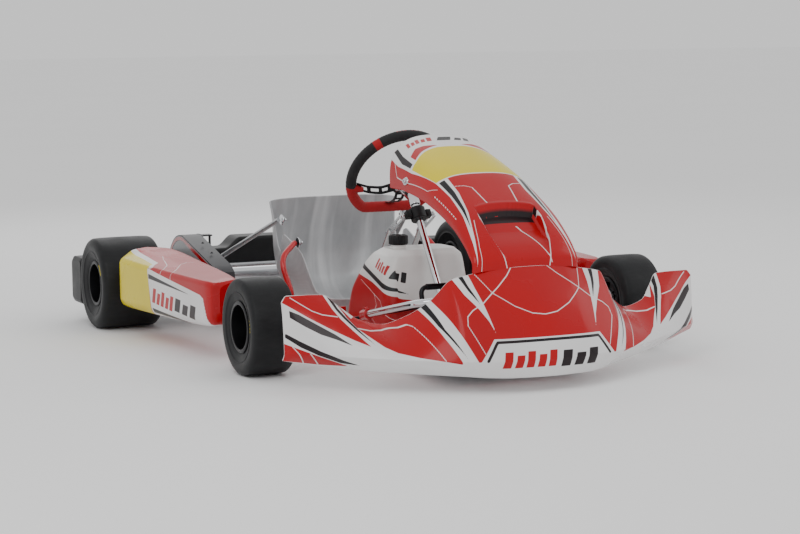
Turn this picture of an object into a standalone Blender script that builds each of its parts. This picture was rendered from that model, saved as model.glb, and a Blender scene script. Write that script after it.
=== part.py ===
"""Racing kart chassis without its engine: tube frame, bodywork, seat, steering, brakes and wheels.

+Z is up, the kart's front points to -Y, the driver's left is +X, and the ground is Z = 0.
Lengths are metres. Y is measured back from the front axle while modelling; the root empty
then moves the kart so that its overall length is centred on the origin.
"""
import math

import bmesh
import bpy
from mathutils import Matrix, Vector

# Driving dimensions
WHEELBASE = 1.050
NOSE_TIP_Y = -0.602
BUMPER_END_Y = 1.328
LENGTH_CENTRE_Y = (NOSE_TIP_Y + BUMPER_END_Y) / 2
GAP = 0.0004

# Wheels; a tyre's many flats touch the ground at its nominal radius
TYRE_SIDES = 26
FRONT_TYRE_R = 0.129
FRONT_TYRE_WIDTH = 0.1265
FRONT_WHEEL_X = 0.615 - FRONT_TYRE_WIDTH / 2
REAR_TYRE_R = 0.1385
REAR_TYRE_WIDTH = 0.196
REAR_WHEEL_X = 0.700 - REAR_TYRE_WIDTH / 2
RIM_SEAT_R = 0.0635
AXLE_R = 0.025
AXLE_HALF = 0.668

# Frame tubes
RAIL_R = 0.015
CROSS_R = 0.014
RAIL_Z = 0.055
REAR_RAIL_X = 0.300
WAIST_X = 0.225
SEAT_TUBE_Y = 0.500
FRONT_TUBE_Y = 0.075
FRONT_TUBE_Z = 0.0675
REAR_TUBE_Y = 1.148
HOOP_X = 0.200
HOOP_Z = 0.058
HOOP_FRONT_Y = -0.400
BUMPER_BACK_END = (0.275, -0.050, 0.1455)
BUMPER_BACK = (0.275, -0.086, 0.153)

# Steering
COLUMN_TILT = math.radians(34.5)
COLUMN_AXIS = Vector((0, math.sin(COLUMN_TILT), math.cos(COLUMN_TILT)))
COLUMN_POINT = Vector((0, 0.076, 0.213))
COLUMN_R = 0.010
WHEEL_TILT = math.radians(55.5)
WHEEL_NORMAL = Vector((0, math.sin(WHEEL_TILT), math.cos(WHEEL_TILT)))
WHEEL_CENTRE = Vector((0, 0.331, 0.487))
RIM_RADIUS = 0.140
RIM_FLAT = 0.116
RIM_TUBE_R = 0.0155
HUB_DISH = 0.045
KINGPIN_X = 0.420
KINGPIN_LEAN = math.radians(10)
CASTER = math.radians(12)
ARM_LENGTH = 0.100
PITMAN_LENGTH = 0.059
ROD_END_X = 0.019
ROD_END_LIFT = 0.024

# Pedals and brake line
PEDAL_Y = -0.310
BRAKE_X = 0.148
BRAKE_Z = 0.105

# Seat
SEAT_X = 0.022
SEAT_WALL = 0.0045
SHELL_WALL = 0.004
PANEL_WALL = 0.003
INWARD = -1.0
OUTWARD = 1.0

RED = (0.60, 0.012, 0.02)
FRAME_RED = (0.42, 0.006, 0.012)
BLACK = (0.012, 0.012, 0.013)
STEEL = (0.55, 0.56, 0.57)
ALLOY = (0.62, 0.63, 0.64)

for old in list(bpy.data.objects):
    bpy.data.objects.remove(old, do_unlink=True)

ROOT = bpy.data.objects.new("kart_root", None)
ROOT.location = (0, -LENGTH_CENTRE_Y, 0)
bpy.context.scene.collection.objects.link(ROOT)


# ---------------------------------------------------------------- making objects
def finish(name, colour, roughness, metallic=0.0):
    """A Principled material, made once for each name."""
    material = bpy.data.materials.get(name)
    if material is None:
        material = bpy.data.materials.new(name)
        material.use_nodes = True
        shader = material.node_tree.nodes["Principled BSDF"]
        shader.inputs["Base Color"].default_value = (*colour, 1)
        shader.inputs["Roughness"].default_value = roughness
        shader.inputs["Metallic"].default_value = metallic
    return material


def paint(kind):
    """The kart's finishes by their everyday names."""
    table = {
        "bodywork": (RED, 0.25, 0.0),
        "frame": (FRAME_RED, 0.3, 0.0),
        "plastic": (BLACK, 0.5, 0.0),
        "rubber": (BLACK, 0.8, 0.0),
        "anodised": (BLACK, 0.35, 0.8),
        "chrome": (STEEL, 0.15, 1.0),
        "steel": (STEEL, 0.35, 1.0),
        "alloy": (ALLOY, 0.35, 1.0),
        "fibre": ((0.36, 0.37, 0.38), 0.4, 0.2),
        "tank": ((0.80, 0.80, 0.78), 0.4, 0.0),
        "suede": (BLACK, 0.9, 0.0),
    }
    return finish(kind, *table[kind])


def place(name, mesh_data, kind, origin=(0, 0, 0), helper=False):
    """Turn a bmesh in kart coordinates into an object whose own origin is at the given point."""
    bmesh.ops.recalc_face_normals(mesh_data, faces=mesh_data.faces)
    bmesh.ops.translate(mesh_data, verts=mesh_data.verts, vec=-Vector(origin))
    mesh = bpy.data.meshes.new(name)
    mesh_data.to_mesh(mesh)
    mesh_data.free()
    mesh.shade_smooth()
    mesh.set_sharp_from_angle(angle=math.radians(35))
    thing = bpy.data.objects.new(name, mesh)
    bpy.context.scene.collection.objects.link(thing)
    thing.parent = ROOT
    thing.location = origin
    if helper:
        thing.hide_render = True
        thing.display_type = "WIRE"
    else:
        mesh.materials.append(paint(kind))
    return thing


def combine(thing, tool, operation):
    """Add to, or cut from, an object with an exact Boolean against a hidden helper solid."""
    count = sum(1 for item in thing.modifiers if item.type == "BOOLEAN")
    helper = place(f"{thing.name}_tool_{count}", tool, "steel", helper=True)
    modifier = thing.modifiers.new(f"{operation.lower()}_{count}", "BOOLEAN")
    modifier.operation = operation
    modifier.solver = "EXACT"
    modifier.object = helper
    return thing


def add(thing, *tools):
    for tool in tools:
        combine(thing, tool, "UNION")
    return thing


def cut(thing, *tools):
    for tool in tools:
        combine(thing, tool, "DIFFERENCE")
    return thing


# ---------------------------------------------------------------- shapes
def loft(rings, caps=True, closed=False):
    """Skin rings that have equal point counts; a one-point ring is a tip."""
    mesh = bmesh.new()
    rows = [[mesh.verts.new(point) for point in ring] for ring in rings]
    pairs = list(zip(rows, rows[1:]))
    if closed:
        pairs.append((rows[-1], rows[0]))
    for low, high in pairs:
        count = max(len(low), len(high))
        for i in range(count):
            j = (i + 1) % count
            corners = [low[i % len(low)], low[j % len(low)], high[j % len(high)], high[i % len(high)]]
            mesh.faces.new(list(dict.fromkeys(corners)))
    if caps and not closed:
        for row in (rows[0], rows[-1]):
            if len(row) > 2:
                mesh.faces.new(row)
    return mesh


def sweep(path, radius, sides=10, closed=False):
    """A round bar along a path, its section carried along without twisting."""
    points = [Vector(point) for point in path]
    count = len(points)
    rings = []
    across = None
    for i, point in enumerate(points):
        before = points[i - 1] if closed or i else point
        after = points[(i + 1) % count] if closed or i < count - 1 else point
        along = (after - before).normalized()
        if across is None:
            across = along.orthogonal().normalized() if abs(along.x) > 0.9 else along.cross((1, 0, 0))
        across = (across - along * across.dot(along)).normalized()
        up = along.cross(across)
        ring = []
        for k in range(sides):
            turn = 2 * math.pi * (k + 0.5) / sides
            ring.append(point + radius * (math.cos(turn) * across + math.sin(turn) * up))
        rings.append(ring)
    return loft(rings, closed=closed)


def bend(points, radius, steps=4):
    """Round the corners of a line of points with tangent curves of about the given radius."""
    corners = [Vector(point) for point in points]
    path = [corners[0]]
    for before, corner, after in zip(corners, corners[1:], corners[2:]):
        back = before - corner
        ahead = after - corner
        half_angle = back.angle(ahead) / 2
        reach = min(radius / math.tan(half_angle), back.length * 0.48, ahead.length * 0.48)
        start = corner + back.normalized() * reach
        end = corner + ahead.normalized() * reach
        for k in range(steps + 1):
            t = k / steps
            path.append((1 - t) ** 2 * start + 2 * t * (1 - t) * corner + t * t * end)
    path.append(corners[-1])
    return path


def turned(profile, centre, axis=(1, 0, 0), sides=24):
    """Spin a closed outline of (distance along the axis, radius) points about an axis."""
    along = Vector(axis).normalized()
    across = Vector((0, 0, 1)) if abs(along.x) > 0.9 else Vector((1, 0, 0))
    across = (across - along * across.dot(along)).normalized()
    up = along.cross(across)
    rings = []
    for k in range(sides):
        turn = 2 * math.pi * (k + 0.5) / sides
        out = math.cos(turn) * across + math.sin(turn) * up
        rings.append([Vector(centre) + along * a + out * r for a, r in profile])
    return loft(rings, closed=True)


def rod(start, end, radius, sides=12):
    return sweep([start, end], radius, sides)


def ring_body(centre, axis, half_length, outer, inner, sides=16):
    outline = [(-half_length, inner), (half_length, inner), (half_length, outer), (-half_length, outer)]
    return turned(outline, centre, axis, sides)


def bore(shaft_radius, sides):
    """Corner radius of a many-sided hole whose flats clear a shaft."""
    return (shaft_radius + GAP) / math.cos(math.pi / sides)


def block(low, high, turn=None, pivot=(0, 0, 0)):
    """A box between two corners, turned about a pivot if a rotation is given."""
    mesh = bmesh.new()
    bmesh.ops.create_cube(mesh, size=1)
    low = Vector(low)
    high = Vector(high)
    bmesh.ops.scale(mesh, verts=mesh.verts, vec=high - low)
    bmesh.ops.translate(mesh, verts=mesh.verts, vec=(low + high) / 2)
    if turn is not None:
        bmesh.ops.rotate(mesh, verts=mesh.verts, cent=pivot, matrix=turn)
    return mesh


def plate(outline, low, high, across="X"):
    """A flat sheet: an outline given in the other two axes, between two levels of one axis."""
    order = {"X": lambda a, b, level: (level, a, b), "Z": lambda a, b, level: (a, b, level)}[across]
    return loft([[order(a, b, level) for a, b in outline] for level in (low, high)])


def stadium(start, end, radius, steps=5):
    """Outline of a bar with two round ends."""
    begin = Vector(start)
    finish_point = Vector(end)
    heading = math.atan2(*(finish_point - begin).yx)
    outline = []
    for centre, offset in ((finish_point, -0.5), (begin, 0.5)):
        for k in range(steps + 1):
            turn = heading + math.pi * (offset + k / steps)
            outline.append((centre.x + radius * math.cos(turn), centre.y + radius * math.sin(turn)))
    return outline


def mirrored(side, points):
    """Points given for the driver's left, moved to the side wanted: +1 left, -1 right."""
    return [Vector((side * x, y, z)) for x, y, z in points]


def curve_at(table, x):
    """Linear value of a table of (x, a, b) rows at x."""
    for (x0, a0, b0), (x1, a1, b1) in zip(table, table[1:]):
        if x <= x1:
            t = (x - x0) / (x1 - x0)
            return a0 + t * (a1 - a0), b0 + t * (b1 - b0)
    return table[-1][1:]


def smooth_shell(name, rows, kind, wall, offset):
    """An open sheet of points made into a wall of even thickness on one side."""
    mesh = bmesh.new()
    grid = [[mesh.verts.new(point) for point in row] for row in rows]
    for low, high in zip(grid, grid[1:]):
        for i in range(len(low) - 1):
            mesh.faces.new((low[i], low[i + 1], high[i + 1], high[i]))
    shell = place(name, mesh, kind)
    solid = shell.modifiers.new("wall", "SOLIDIFY")
    solid.thickness = wall
    solid.offset = offset
    solid.use_even_offset = True
    return shell


SIDES = (("right", -1), ("left", 1))


# ---------------------------------------------------------------- frame
def rail_path(side):
    corners = [
        (REAR_RAIL_X, 1.165, 0.062),
        (REAR_RAIL_X, 0.930, 0.062),
        (WAIST_X, 0.610, RAIL_Z),
        (WAIST_X, 0.280, RAIL_Z),
        (0.296, 0.070, FRONT_TUBE_Z),
        (0.371, 0.004, 0.114),
    ]
    return bend(mirrored(side, corners), 0.12, 2)


def cross_tube(name, y, z, half):
    """A tube between the rails, its ends cut to fit round them."""
    tube = place(name, rod((-half, y, z), (half, y, z), CROSS_R, 10), "frame")
    for _, side in SIDES:
        cut(tube, sweep(rail_path(side), RAIL_R + GAP, 12))
    return tube


def make_frame():
    for label, side in SIDES:
        place(f"frame_rail_{label}", sweep(rail_path(side), RAIL_R, 12), "frame")
    cross_tube("front_cross_tube", FRONT_TUBE_Y, FRONT_TUBE_Z, 0.288)
    cross_tube("rear_cross_tube", REAR_TUBE_Y, 0.062, REAR_RAIL_X - 0.004)
    seat_tube = cross_tube("seat_cross_tube", SEAT_TUBE_Y, RAIL_Z, WAIST_X - 0.004)
    for x in (-0.105, 0.150):
        add(seat_tube, block((x - 0.012, SEAT_TUBE_Y - 0.004, 0.060), (x + 0.012, SEAT_TUBE_Y + 0.004, 0.094)))
    make_hoop()
    make_yokes()
    tray = [(0.190, HOOP_FRONT_Y), (0.196, -0.1), (0.214, 0.10), (0.205, 0.28), (0.200, 0.455)]
    outline = tray + [(-x, y) for x, y in reversed(tray)]
    place("floor_tray", plate(outline, 0.0365, 0.0393, "Z"), "alloy")


def make_hoop():
    """The front porch: a U of tube with bumper sockets and pedal pivot pins welded on."""
    start_y = FRONT_TUBE_Y - CROSS_R - GAP
    right = [(-HOOP_X, start_y, 0.066), (-HOOP_X, -0.1, HOOP_Z), (-HOOP_X, HOOP_FRONT_Y, HOOP_Z)]
    corners = right + [(-x, y, z) for x, y, z in reversed(right)]
    hoop = place("front_hoop", sweep(bend(corners, 0.08, 2), CROSS_R, 10), "frame")
    for _, side in SIDES:
        socket_back, socket_front = (Vector(p) for p in mirrored(side, [BUMPER_BACK_END, BUMPER_BACK]))
        stub = mirrored(side, [(HOOP_X, -0.064, HOOP_Z), (0.235, -0.066, 0.085), (0.270, -0.068, 0.140)])
        add(hoop, sweep(bend(stub, 0.04, 2), 0.009, 8), rod(socket_back, socket_front, 0.0145, 10))
        add(hoop, rod(*mirrored(side, [(HOOP_X, PEDAL_Y, HOOP_Z), (0.150, PEDAL_Y, HOOP_Z)]), 0.005, 8))


def kingpin_axis(side):
    return Vector((-side * math.tan(KINGPIN_LEAN), math.tan(CASTER), 1)).normalized()


def kingpin_frame(side):
    """Axes of a steering knuckle: outward, rearward and up along its kingpin."""
    up = kingpin_axis(side)
    rear = (Vector((0, 1, 0)) - up * up.y).normalized()
    out = rear.cross(up)
    centre = Vector((side * KINGPIN_X, 0, FRONT_TYRE_R))
    return centre, out * side * (1 if out.x > 0 else -1), rear, up


def knuckle_points(side, outline, rear_level):
    centre, out, rear, up = kingpin_frame(side)
    return [centre + out * a + up * b + rear * rear_level for a, b in outline]


def make_yokes():
    """C brackets that hold the kingpins, each with its kingpin bolt."""
    outline = [(-0.042, -0.036), (0.014, -0.036), (0.014, -0.030), (-0.032, -0.030)]
    outline += [(a, -b) for a, b in reversed(outline)]
    bolt = [(-0.046, 0), (-0.046, 0.008), (-0.036, 0.008), (-0.036, 0.005), (0.036, 0.005), (0.036, 0.008)]
    bolt += [(0.044, 0.008), (0.044, 0)]
    for label, side in SIDES:
        centre, _, _, up = kingpin_frame(side)
        rings = [knuckle_points(side, outline, level) for level in (-0.014, 0.014)]
        yoke = place(f"kingpin_yoke_{label}", loft(rings), "frame")
        steps = [[centre + up * a + v * r for v in circle_vectors(up, 12)] for a, r in bolt if r]
        add(yoke, loft(steps))
        cut(yoke, sweep(rail_path(side), RAIL_R + GAP, 12))


def circle_vectors(axis, sides):
    """Unit vectors around an axis."""
    across = axis.orthogonal().normalized()
    up = axis.cross(across)
    turns = [2 * math.pi * k / sides for k in range(sides)]
    return [math.cos(turn) * across + math.sin(turn) * up for turn in turns]


# ---------------------------------------------------------------- steering
def make_stub_axles():
    for label, side in SIDES:
        centre, out, rear, up = kingpin_frame(side)
        spin = Vector((side, 0, 0))
        stub = place(f"stub_axle_{label}", rod(centre - up * 0.0294, centre + up * 0.0294, 0.0125, 16), "steel", centre)
        shaft = [(0.0, 0.0125), (0.026, 0.0125), (0.026, 0.0085), (0.152, 0.0085)]
        rings = [[centre + spin * a + v * r for v in circle_vectors(spin, 16)] for a, r in shaft]
        arm = [(centre + rear * y - up * 0.017 + out * x) for x, y in ((-0.011, 0.004), (-0.012, ARM_LENGTH))]
        bars = [[p + out * a + up * b for a, b in ((-w, -0.003), (w, -0.003), (w, 0.003), (-w, 0.003))]
                for p, w in zip(arm, (0.011, 0.007))]
        tip = arm[1]
        add(stub, loft(rings), loft(bars), rod(tip - up * 0.003, tip + up * 0.003, 0.009, 12))
        cut(stub, rod(centre - up * 0.04, centre + up * 0.04, 0.0058, 12))


def tie_rod_ends(side):
    """Outer ball joint above the stub axle's arm, inner one above the pitman arm."""
    centre, out, rear, up = kingpin_frame(side)
    outer = centre + rear * ARM_LENGTH - up * 0.017 + out * -0.012 + up * 0.0105
    inner = pitman_tip() + Vector((side * ROD_END_X, 0, 0)) + COLUMN_AXIS * ROD_END_LIFT
    return outer, inner


def pitman_root():
    return COLUMN_POINT - COLUMN_AXIS * ((COLUMN_POINT.z - 0.150) / COLUMN_AXIS.z)


def pitman_tip():
    down = Vector((0, math.cos(COLUMN_TILT), -math.sin(COLUMN_TILT)))
    return pitman_root() + down * PITMAN_LENGTH


def make_tie_rods():
    for label, side in SIDES:
        outer, inner = tie_rod_ends(side)
        up = kingpin_axis(side)
        track = place(f"tie_rod_{label}", rod(outer, inner, 0.0045, 8), "anodised", outer)
        add(track, rod(outer - up * 0.007, outer + up * 0.007, 0.010, 10))
        add(track, rod(inner - COLUMN_AXIS * 0.007, inner + COLUMN_AXIS * 0.007, 0.010, 10))


def column_at(z):
    return COLUMN_POINT + COLUMN_AXIS * ((z - COLUMN_POINT.z) / COLUMN_AXIS.z)


def make_steering():
    top = column_at(0.418)
    dish = WHEEL_CENTRE - WHEEL_NORMAL * HUB_DISH
    column = place("steering_column", rod(column_at(0.086), top, COLUMN_R, 16), "chrome", COLUMN_POINT)
    neck = [(top - COLUMN_AXIS * 0.012, 0.014), (top + COLUMN_AXIS * 0.010, 0.016), (dish - WHEEL_NORMAL * 0.014, 0.020)]
    neck.append((dish - WHEEL_NORMAL * 0.0034, 0.028))
    axes = (COLUMN_AXIS, COLUMN_AXIS, WHEEL_NORMAL, WHEEL_NORMAL)
    add(column, loft([[p + v * r for v in level_circle(a, 14)] for (p, r), a in zip(neck, axes)]))
    root = pitman_root()
    tip = pitman_tip()
    rings = []
    for level in (-0.003, 0.003):
        wide = [root + Vector((x, 0, 0)) - (tip - root) * 0.2 for x in (-0.016, 0.016)]
        ends = [tip + Vector((x, 0, 0)) + (tip - root) * 0.18 for x in (0.030, -0.030)]
        rings.append([p + COLUMN_AXIS * level for p in wide + ends])
    add(column, loft(rings))
    make_wheel_spokes(dish)
    make_wheel_rim()


def level_circle(axis, sides):
    """Unit vectors around an axis in the kart's middle plane, starting from +X."""
    across = Vector((1, 0, 0))
    up = axis.cross(across)
    turns = [2 * math.pi * k / sides for k in range(sides)]
    return [math.cos(turn) * across + math.sin(turn) * up for turn in turns]


def wheel_point(x, y, height=0.0):
    """A point on the steering wheel: across, towards its top, and out of its plane."""
    top = Vector((1, 0, 0)).cross(WHEEL_NORMAL)
    return WHEEL_CENTRE + Vector((x, 0, 0)) + top * y + WHEEL_NORMAL * height


def make_wheel_rim():
    corner = math.acos(RIM_FLAT / RIM_RADIUS)
    start = -math.pi / 2 + corner
    sweep_angle = 2 * math.pi - 2 * corner
    turns = [start + sweep_angle * k / 20 for k in range(21)]
    path = [wheel_point(RIM_RADIUS * math.cos(t), RIM_RADIUS * math.sin(t)) for t in turns]
    path += [wheel_point(x, -RIM_FLAT) for x in (-0.045, 0.0, 0.045)]
    place("steering_rim", sweep(path, RIM_TUBE_R, 8, closed=True), "suede", COLUMN_POINT)


def make_wheel_spokes(dish):
    """A dished three-arm plate whose arms stop at the inside of the rim."""
    hub = place("steering_spokes", rod(dish - WHEEL_NORMAL * 0.003, dish + WHEEL_NORMAL * 0.003, 0.034, 16),
                "anodised", COLUMN_POINT)
    reach = RIM_RADIUS - RIM_TUBE_R - 0.0022
    low_reach = RIM_FLAT - RIM_TUBE_R - 0.0006
    ends = ((-reach, 0.0), (reach, 0.0), (0.0, -low_reach))
    for x, y in ends:
        length = math.hypot(x, y)
        cross_x, cross_y = y / length, -x / length
        rings = []
        for t, height, width in ((0.15, -HUB_DISH, 0.016), (0.45, -HUB_DISH, 0.016), (1.0, -0.001, 0.013)):
            base = [(x * t + cross_x * w, y * t + cross_y * w) for w in (-width, width)]
            low = [wheel_point(a, b, height - 0.002) for a, b in base]
            high = [wheel_point(a, b, height + 0.002) for a, b in reversed(base)]
            rings.append(low + high)
        add(hub, loft(rings))


def make_steering_mounts():
    """Bushing and foot bearing of the column, and the two raked uprights with slotted plates."""
    middle = column_at(0.383)
    ears = block(middle - Vector((0.038, 0.010, 0.011)), middle + Vector((0.038, 0.010, 0.011)),
                 Matrix.Rotation(-COLUMN_TILT, 3, "X"), middle)
    bushing = place("column_bushing", rod(middle - COLUMN_AXIS * 0.018, middle + COLUMN_AXIS * 0.018, 0.023, 14),
                    "plastic")
    add(bushing, ears)
    cut(bushing, rod(middle - COLUMN_AXIS * 0.03, middle + COLUMN_AXIS * 0.03, bore(COLUMN_R, 16), 16))
    foot = column_at(0.070)
    bearing = place("column_foot_bearing", rod(foot - COLUMN_AXIS * 0.012, foot + COLUMN_AXIS * 0.018, 0.017, 14),
                    "anodised")
    add(bearing, block((-0.016, foot.y, 0.058), (0.016, FRONT_TUBE_Y - CROSS_R - GAP, 0.067)))
    bottom = column_at(0.086) - COLUMN_AXIS * GAP
    cut(bearing, rod(bottom, bottom + COLUMN_AXIS * 0.05, bore(COLUMN_R, 16) + 0.0006, 16))
    for label, side in SIDES:
        low, high = mirrored(side, [(0.047, 0.4895, 0.0676), (0.047, 0.277, 0.3345)])
        upright = place(f"steering_support_{label}", rod(low, high, 0.008, 10), "frame")
        outline = stadium((0.196, 0.378), (0.290, 0.325), 0.011)
        inner, outer = sorted((side * 0.0445, side * 0.0485))
        add(upright, plate(outline, inner, outer))
        cut(upright, plate(stadium((0.196, 0.378), (0.225, 0.3615), 0.0042, 4), inner - 0.01, outer + 0.01))


# ---------------------------------------------------------------- wheels
def tyre(name, centre_x, y, radius, width, origin):
    half = width / 2
    bead = RIM_SEAT_R + 0.0008
    crown = radius / math.cos(math.pi / TYRE_SIDES)
    side_wall = [(0.84, bead), (0.84, bead + 0.0062), (1.0, bead + 0.5 * (radius - bead)), (0.91, crown - 0.005)]
    right = [(half * a, r) for a, r in [(0.70, bead)] + side_wall + [(0.74, crown)]]
    well = [(-half * 0.72, radius - 0.010), (half * 0.72, radius - 0.010)]
    outline = right + [(-a, r) for a, r in reversed(right)] + well
    place(name, turned(outline, (centre_x, y, radius), sides=TYRE_SIDES), "rubber", origin)


def rim(name, centre_x, y, z, width, disc_x, hole, side, origin):
    """A one-piece rim: thin barrel with flanges, and a web with a centre hole."""
    half = width * 0.84 / 2 + 0.0008
    lip = 0.004
    top = RIM_SEAT_R
    web = side * (disc_x - abs(centre_x))
    outline = [
        (-half - lip, top - 0.005), (-half - lip, top + 0.005), (-half, top + 0.005), (-half, top),
        (half, top), (half, top + 0.005), (half + lip, top + 0.005), (half + lip, top - 0.005),
        (web + 0.0025, top - 0.006), (web + 0.0025, hole), (web - 0.0025, hole), (web - 0.0025, top - 0.006),
    ]
    place(name, turned(outline, (centre_x, y, z), sides=18), "anodised", origin)


FRONT_WEB_X = 0.503
REAR_WEB_X = 0.560


def make_front_wheels():
    for label, side in SIDES:
        centre = Vector((side * KINGPIN_X, 0, FRONT_TYRE_R))
        x = side * FRONT_WHEEL_X
        tyre(f"front_tyre_{label}", x, 0, FRONT_TYRE_R, FRONT_TYRE_WIDTH, centre)
        rim(f"front_rim_{label}", x, 0, FRONT_TYRE_R, FRONT_TYRE_WIDTH, FRONT_WEB_X, 0.0195, side, centre)
        inner = bore(0.0085, 16) + 0.0002
        face = FRONT_WEB_X - 0.0025 - GAP
        outline = [(0.4485, inner), (0.560, inner), (0.560, 0.0165), (face + 0.006, 0.0185), (face, 0.0185),
                   (face, 0.037), (face - 0.006, 0.037), (face - 0.006, 0.021), (0.4485, 0.021)]
        shape = [(side * a, r) for a, r in outline]
        place(f"front_hub_{label}", turned(shape, (0, 0, FRONT_TYRE_R), sides=16), "alloy", centre)


def make_rear_wheels():
    axle_centre = Vector((0, WHEELBASE, REAR_TYRE_R))
    place("rear_axle", ring_body(axle_centre, (1, 0, 0), AXLE_HALF, AXLE_R, AXLE_R - 0.003, 20), "chrome", axle_centre)
    inner = bore(AXLE_R, 20)
    for label, side in SIDES:
        x = side * REAR_WHEEL_X
        tyre(f"rear_tyre_{label}", x, WHEELBASE, REAR_TYRE_R, REAR_TYRE_WIDTH, axle_centre)
        rim(f"rear_rim_{label}", x, WHEELBASE, REAR_TYRE_R, REAR_TYRE_WIDTH, REAR_WEB_X, inner + 0.006, side,
            axle_centre)
        face = REAR_WEB_X - 0.0025 - GAP
        outline = [(0.455, inner), (face, inner), (face, 0.046), (face - 0.009, 0.046), (face - 0.009, 0.034),
                   (0.455, 0.034)]
        shape = [(side * a, r) for a, r in outline]
        place(f"rear_hub_{label}", turned(shape, axle_centre, sides=20), "alloy", axle_centre)
    make_sprocket(axle_centre, inner)
    make_brake_disc(axle_centre, inner)


SPROCKET_X = -0.380
SPROCKET_R = 0.100
DISC_X = 0.262
DISC_R = 0.098


def make_sprocket(centre, inner):
    teeth = 24
    outline = []
    for k in range(teeth * 2):
        turn = math.pi * k / teeth
        radius = SPROCKET_R if k % 2 else SPROCKET_R - 0.008
        outline.append((centre.y + radius * math.cos(turn), centre.z + radius * math.sin(turn)))
    wheel = place("sprocket", plate(outline, SPROCKET_X - 0.0025, SPROCKET_X + 0.0025), "alloy", centre)
    hub_centre = Vector((SPROCKET_X + 0.009, centre.y, centre.z))
    add(wheel, rod(hub_centre - Vector((0.0105, 0, 0)), hub_centre + Vector((0.0105, 0, 0)), 0.042, 20))
    cut(wheel, rod(hub_centre - Vector((0.05, 0, 0)), hub_centre + Vector((0.05, 0, 0)), inner, 20))


def make_brake_disc(centre, inner):
    """A thick disc on a thinner bell that is clamped to the axle."""
    thick = 0.006
    bell_r = 0.052
    clamp_r = 0.040
    outline = [(DISC_X - thick, DISC_R), (DISC_X + thick, DISC_R), (DISC_X + thick, bell_r), (DISC_X + 0.002, bell_r),
               (DISC_X + 0.002, inner), (DISC_X - 0.022, inner), (DISC_X - 0.022, clamp_r),
               (DISC_X - 0.004, clamp_r), (DISC_X - 0.004, bell_r), (DISC_X - thick, bell_r)]
    place("brake_disc", turned(outline, (0, centre.y, centre.z), sides=20), "steel", centre)


def make_carriers():
    """Bearing carriers: a round housing on the axle and a foot clamped to the rail."""
    for label, side in SIDES:
        x = side * REAR_RAIL_X
        centre = Vector((x, WHEELBASE, REAR_TYRE_R))
        carrier = place(f"bearing_carrier_{label}", rod(centre - Vector((0.013, 0, 0)), centre + Vector((0.013, 0, 0)),
                                                        0.043, 18), "plastic")
        add(carrier, block((x - 0.012, WHEELBASE - 0.038, 0.0775), (x + 0.012, WHEELBASE + 0.038, 0.122)))
        cut(carrier, rod(centre - Vector((0.03, 0, 0)), centre + Vector((0.03, 0, 0)), bore(AXLE_R, 20), 20))


def make_caliper():
    """A brake caliper that straddles the disc behind and above the axle."""
    turn = Matrix.Rotation(math.radians(45), 3, "X")
    centre = Vector((DISC_X, WHEELBASE, REAR_TYRE_R))
    low = centre + Vector((-0.030, 0.062, -0.034))
    high = centre + Vector((0.026, 0.112, 0.034))
    caliper = place("brake_caliper", block(low, high, turn, centre), "anodised")
    cut(caliper, block(centre + Vector((-0.0075, 0.03, -0.06)), centre + Vector((0.0075, 0.101, 0.06)), turn, centre))


# ---------------------------------------------------------------- seat and its supports
SEAT_SPINE = [
    # y, z of the middle line; half width; height of the side walls; lean of the walls from upright
    (0.545, 0.108, 0.150, 0.010, -10),
    (0.575, 0.072, 0.172, 0.060, -6),
    (0.640, 0.050, 0.190, 0.190, -4),
    (0.730, 0.046, 0.198, 0.225, 4),
    (0.830, 0.054, 0.200, 0.240, 16),
    (0.915, 0.082, 0.200, 0.240, 38),
    (0.962, 0.135, 0.198, 0.205, 62),
    (0.972, 0.200, 0.196, 0.160, 76),
    (0.955, 0.270, 0.196, 0.115, 84),
    (0.925, 0.335, 0.200, 0.075, 92),
    (0.900, 0.384, 0.206, 0.040, 100),
]


def make_seat():
    columns = 12
    rows = []
    for y, z, half, wall, lean in SEAT_SPINE:
        tilt = math.radians(lean)
        lift = Vector((0, -math.sin(tilt), math.cos(tilt)))
        row = []
        for k in range(columns + 1):
            t = 2 * k / columns - 1
            turn = abs(t) * math.pi / 2
            across = math.copysign(math.sin(turn) ** 0.85, t) * half
            row.append(Vector((SEAT_X + across, y, z)) + lift * wall * (1 - math.cos(turn)) ** 1.3)
        rows.append(row)
    smooth_shell("seat_shell", rows, "fibre", SEAT_WALL, OUTWARD)


def make_seat_supports():
    """Raked struts at the seat's front sides and stays from its back to the bearing carriers."""
    for label, side in SIDES:
        edge = SEAT_X + side * 0.2125
        strut = mirrored(side, [(0.2335, 0.566, 0.0712), (0.236, 0.574, 0.14), (0.256, 0.605, 0.232)])
        strut.append(Vector((edge, 0.652, 0.272)))
        place(f"seat_strut_{label}", sweep(bend(strut, 0.08, 3), 0.0085, 8), "frame")
        stay = [Vector((edge, 0.782, 0.330)), *mirrored(side, [(0.287, 1.028, 0.2010), (0.300, 1.044, 0.1910)])]
        place(f"seat_stay_{label}", sweep(bend(stay, 0.02, 2), 0.0075, 8), "steel")


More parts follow.
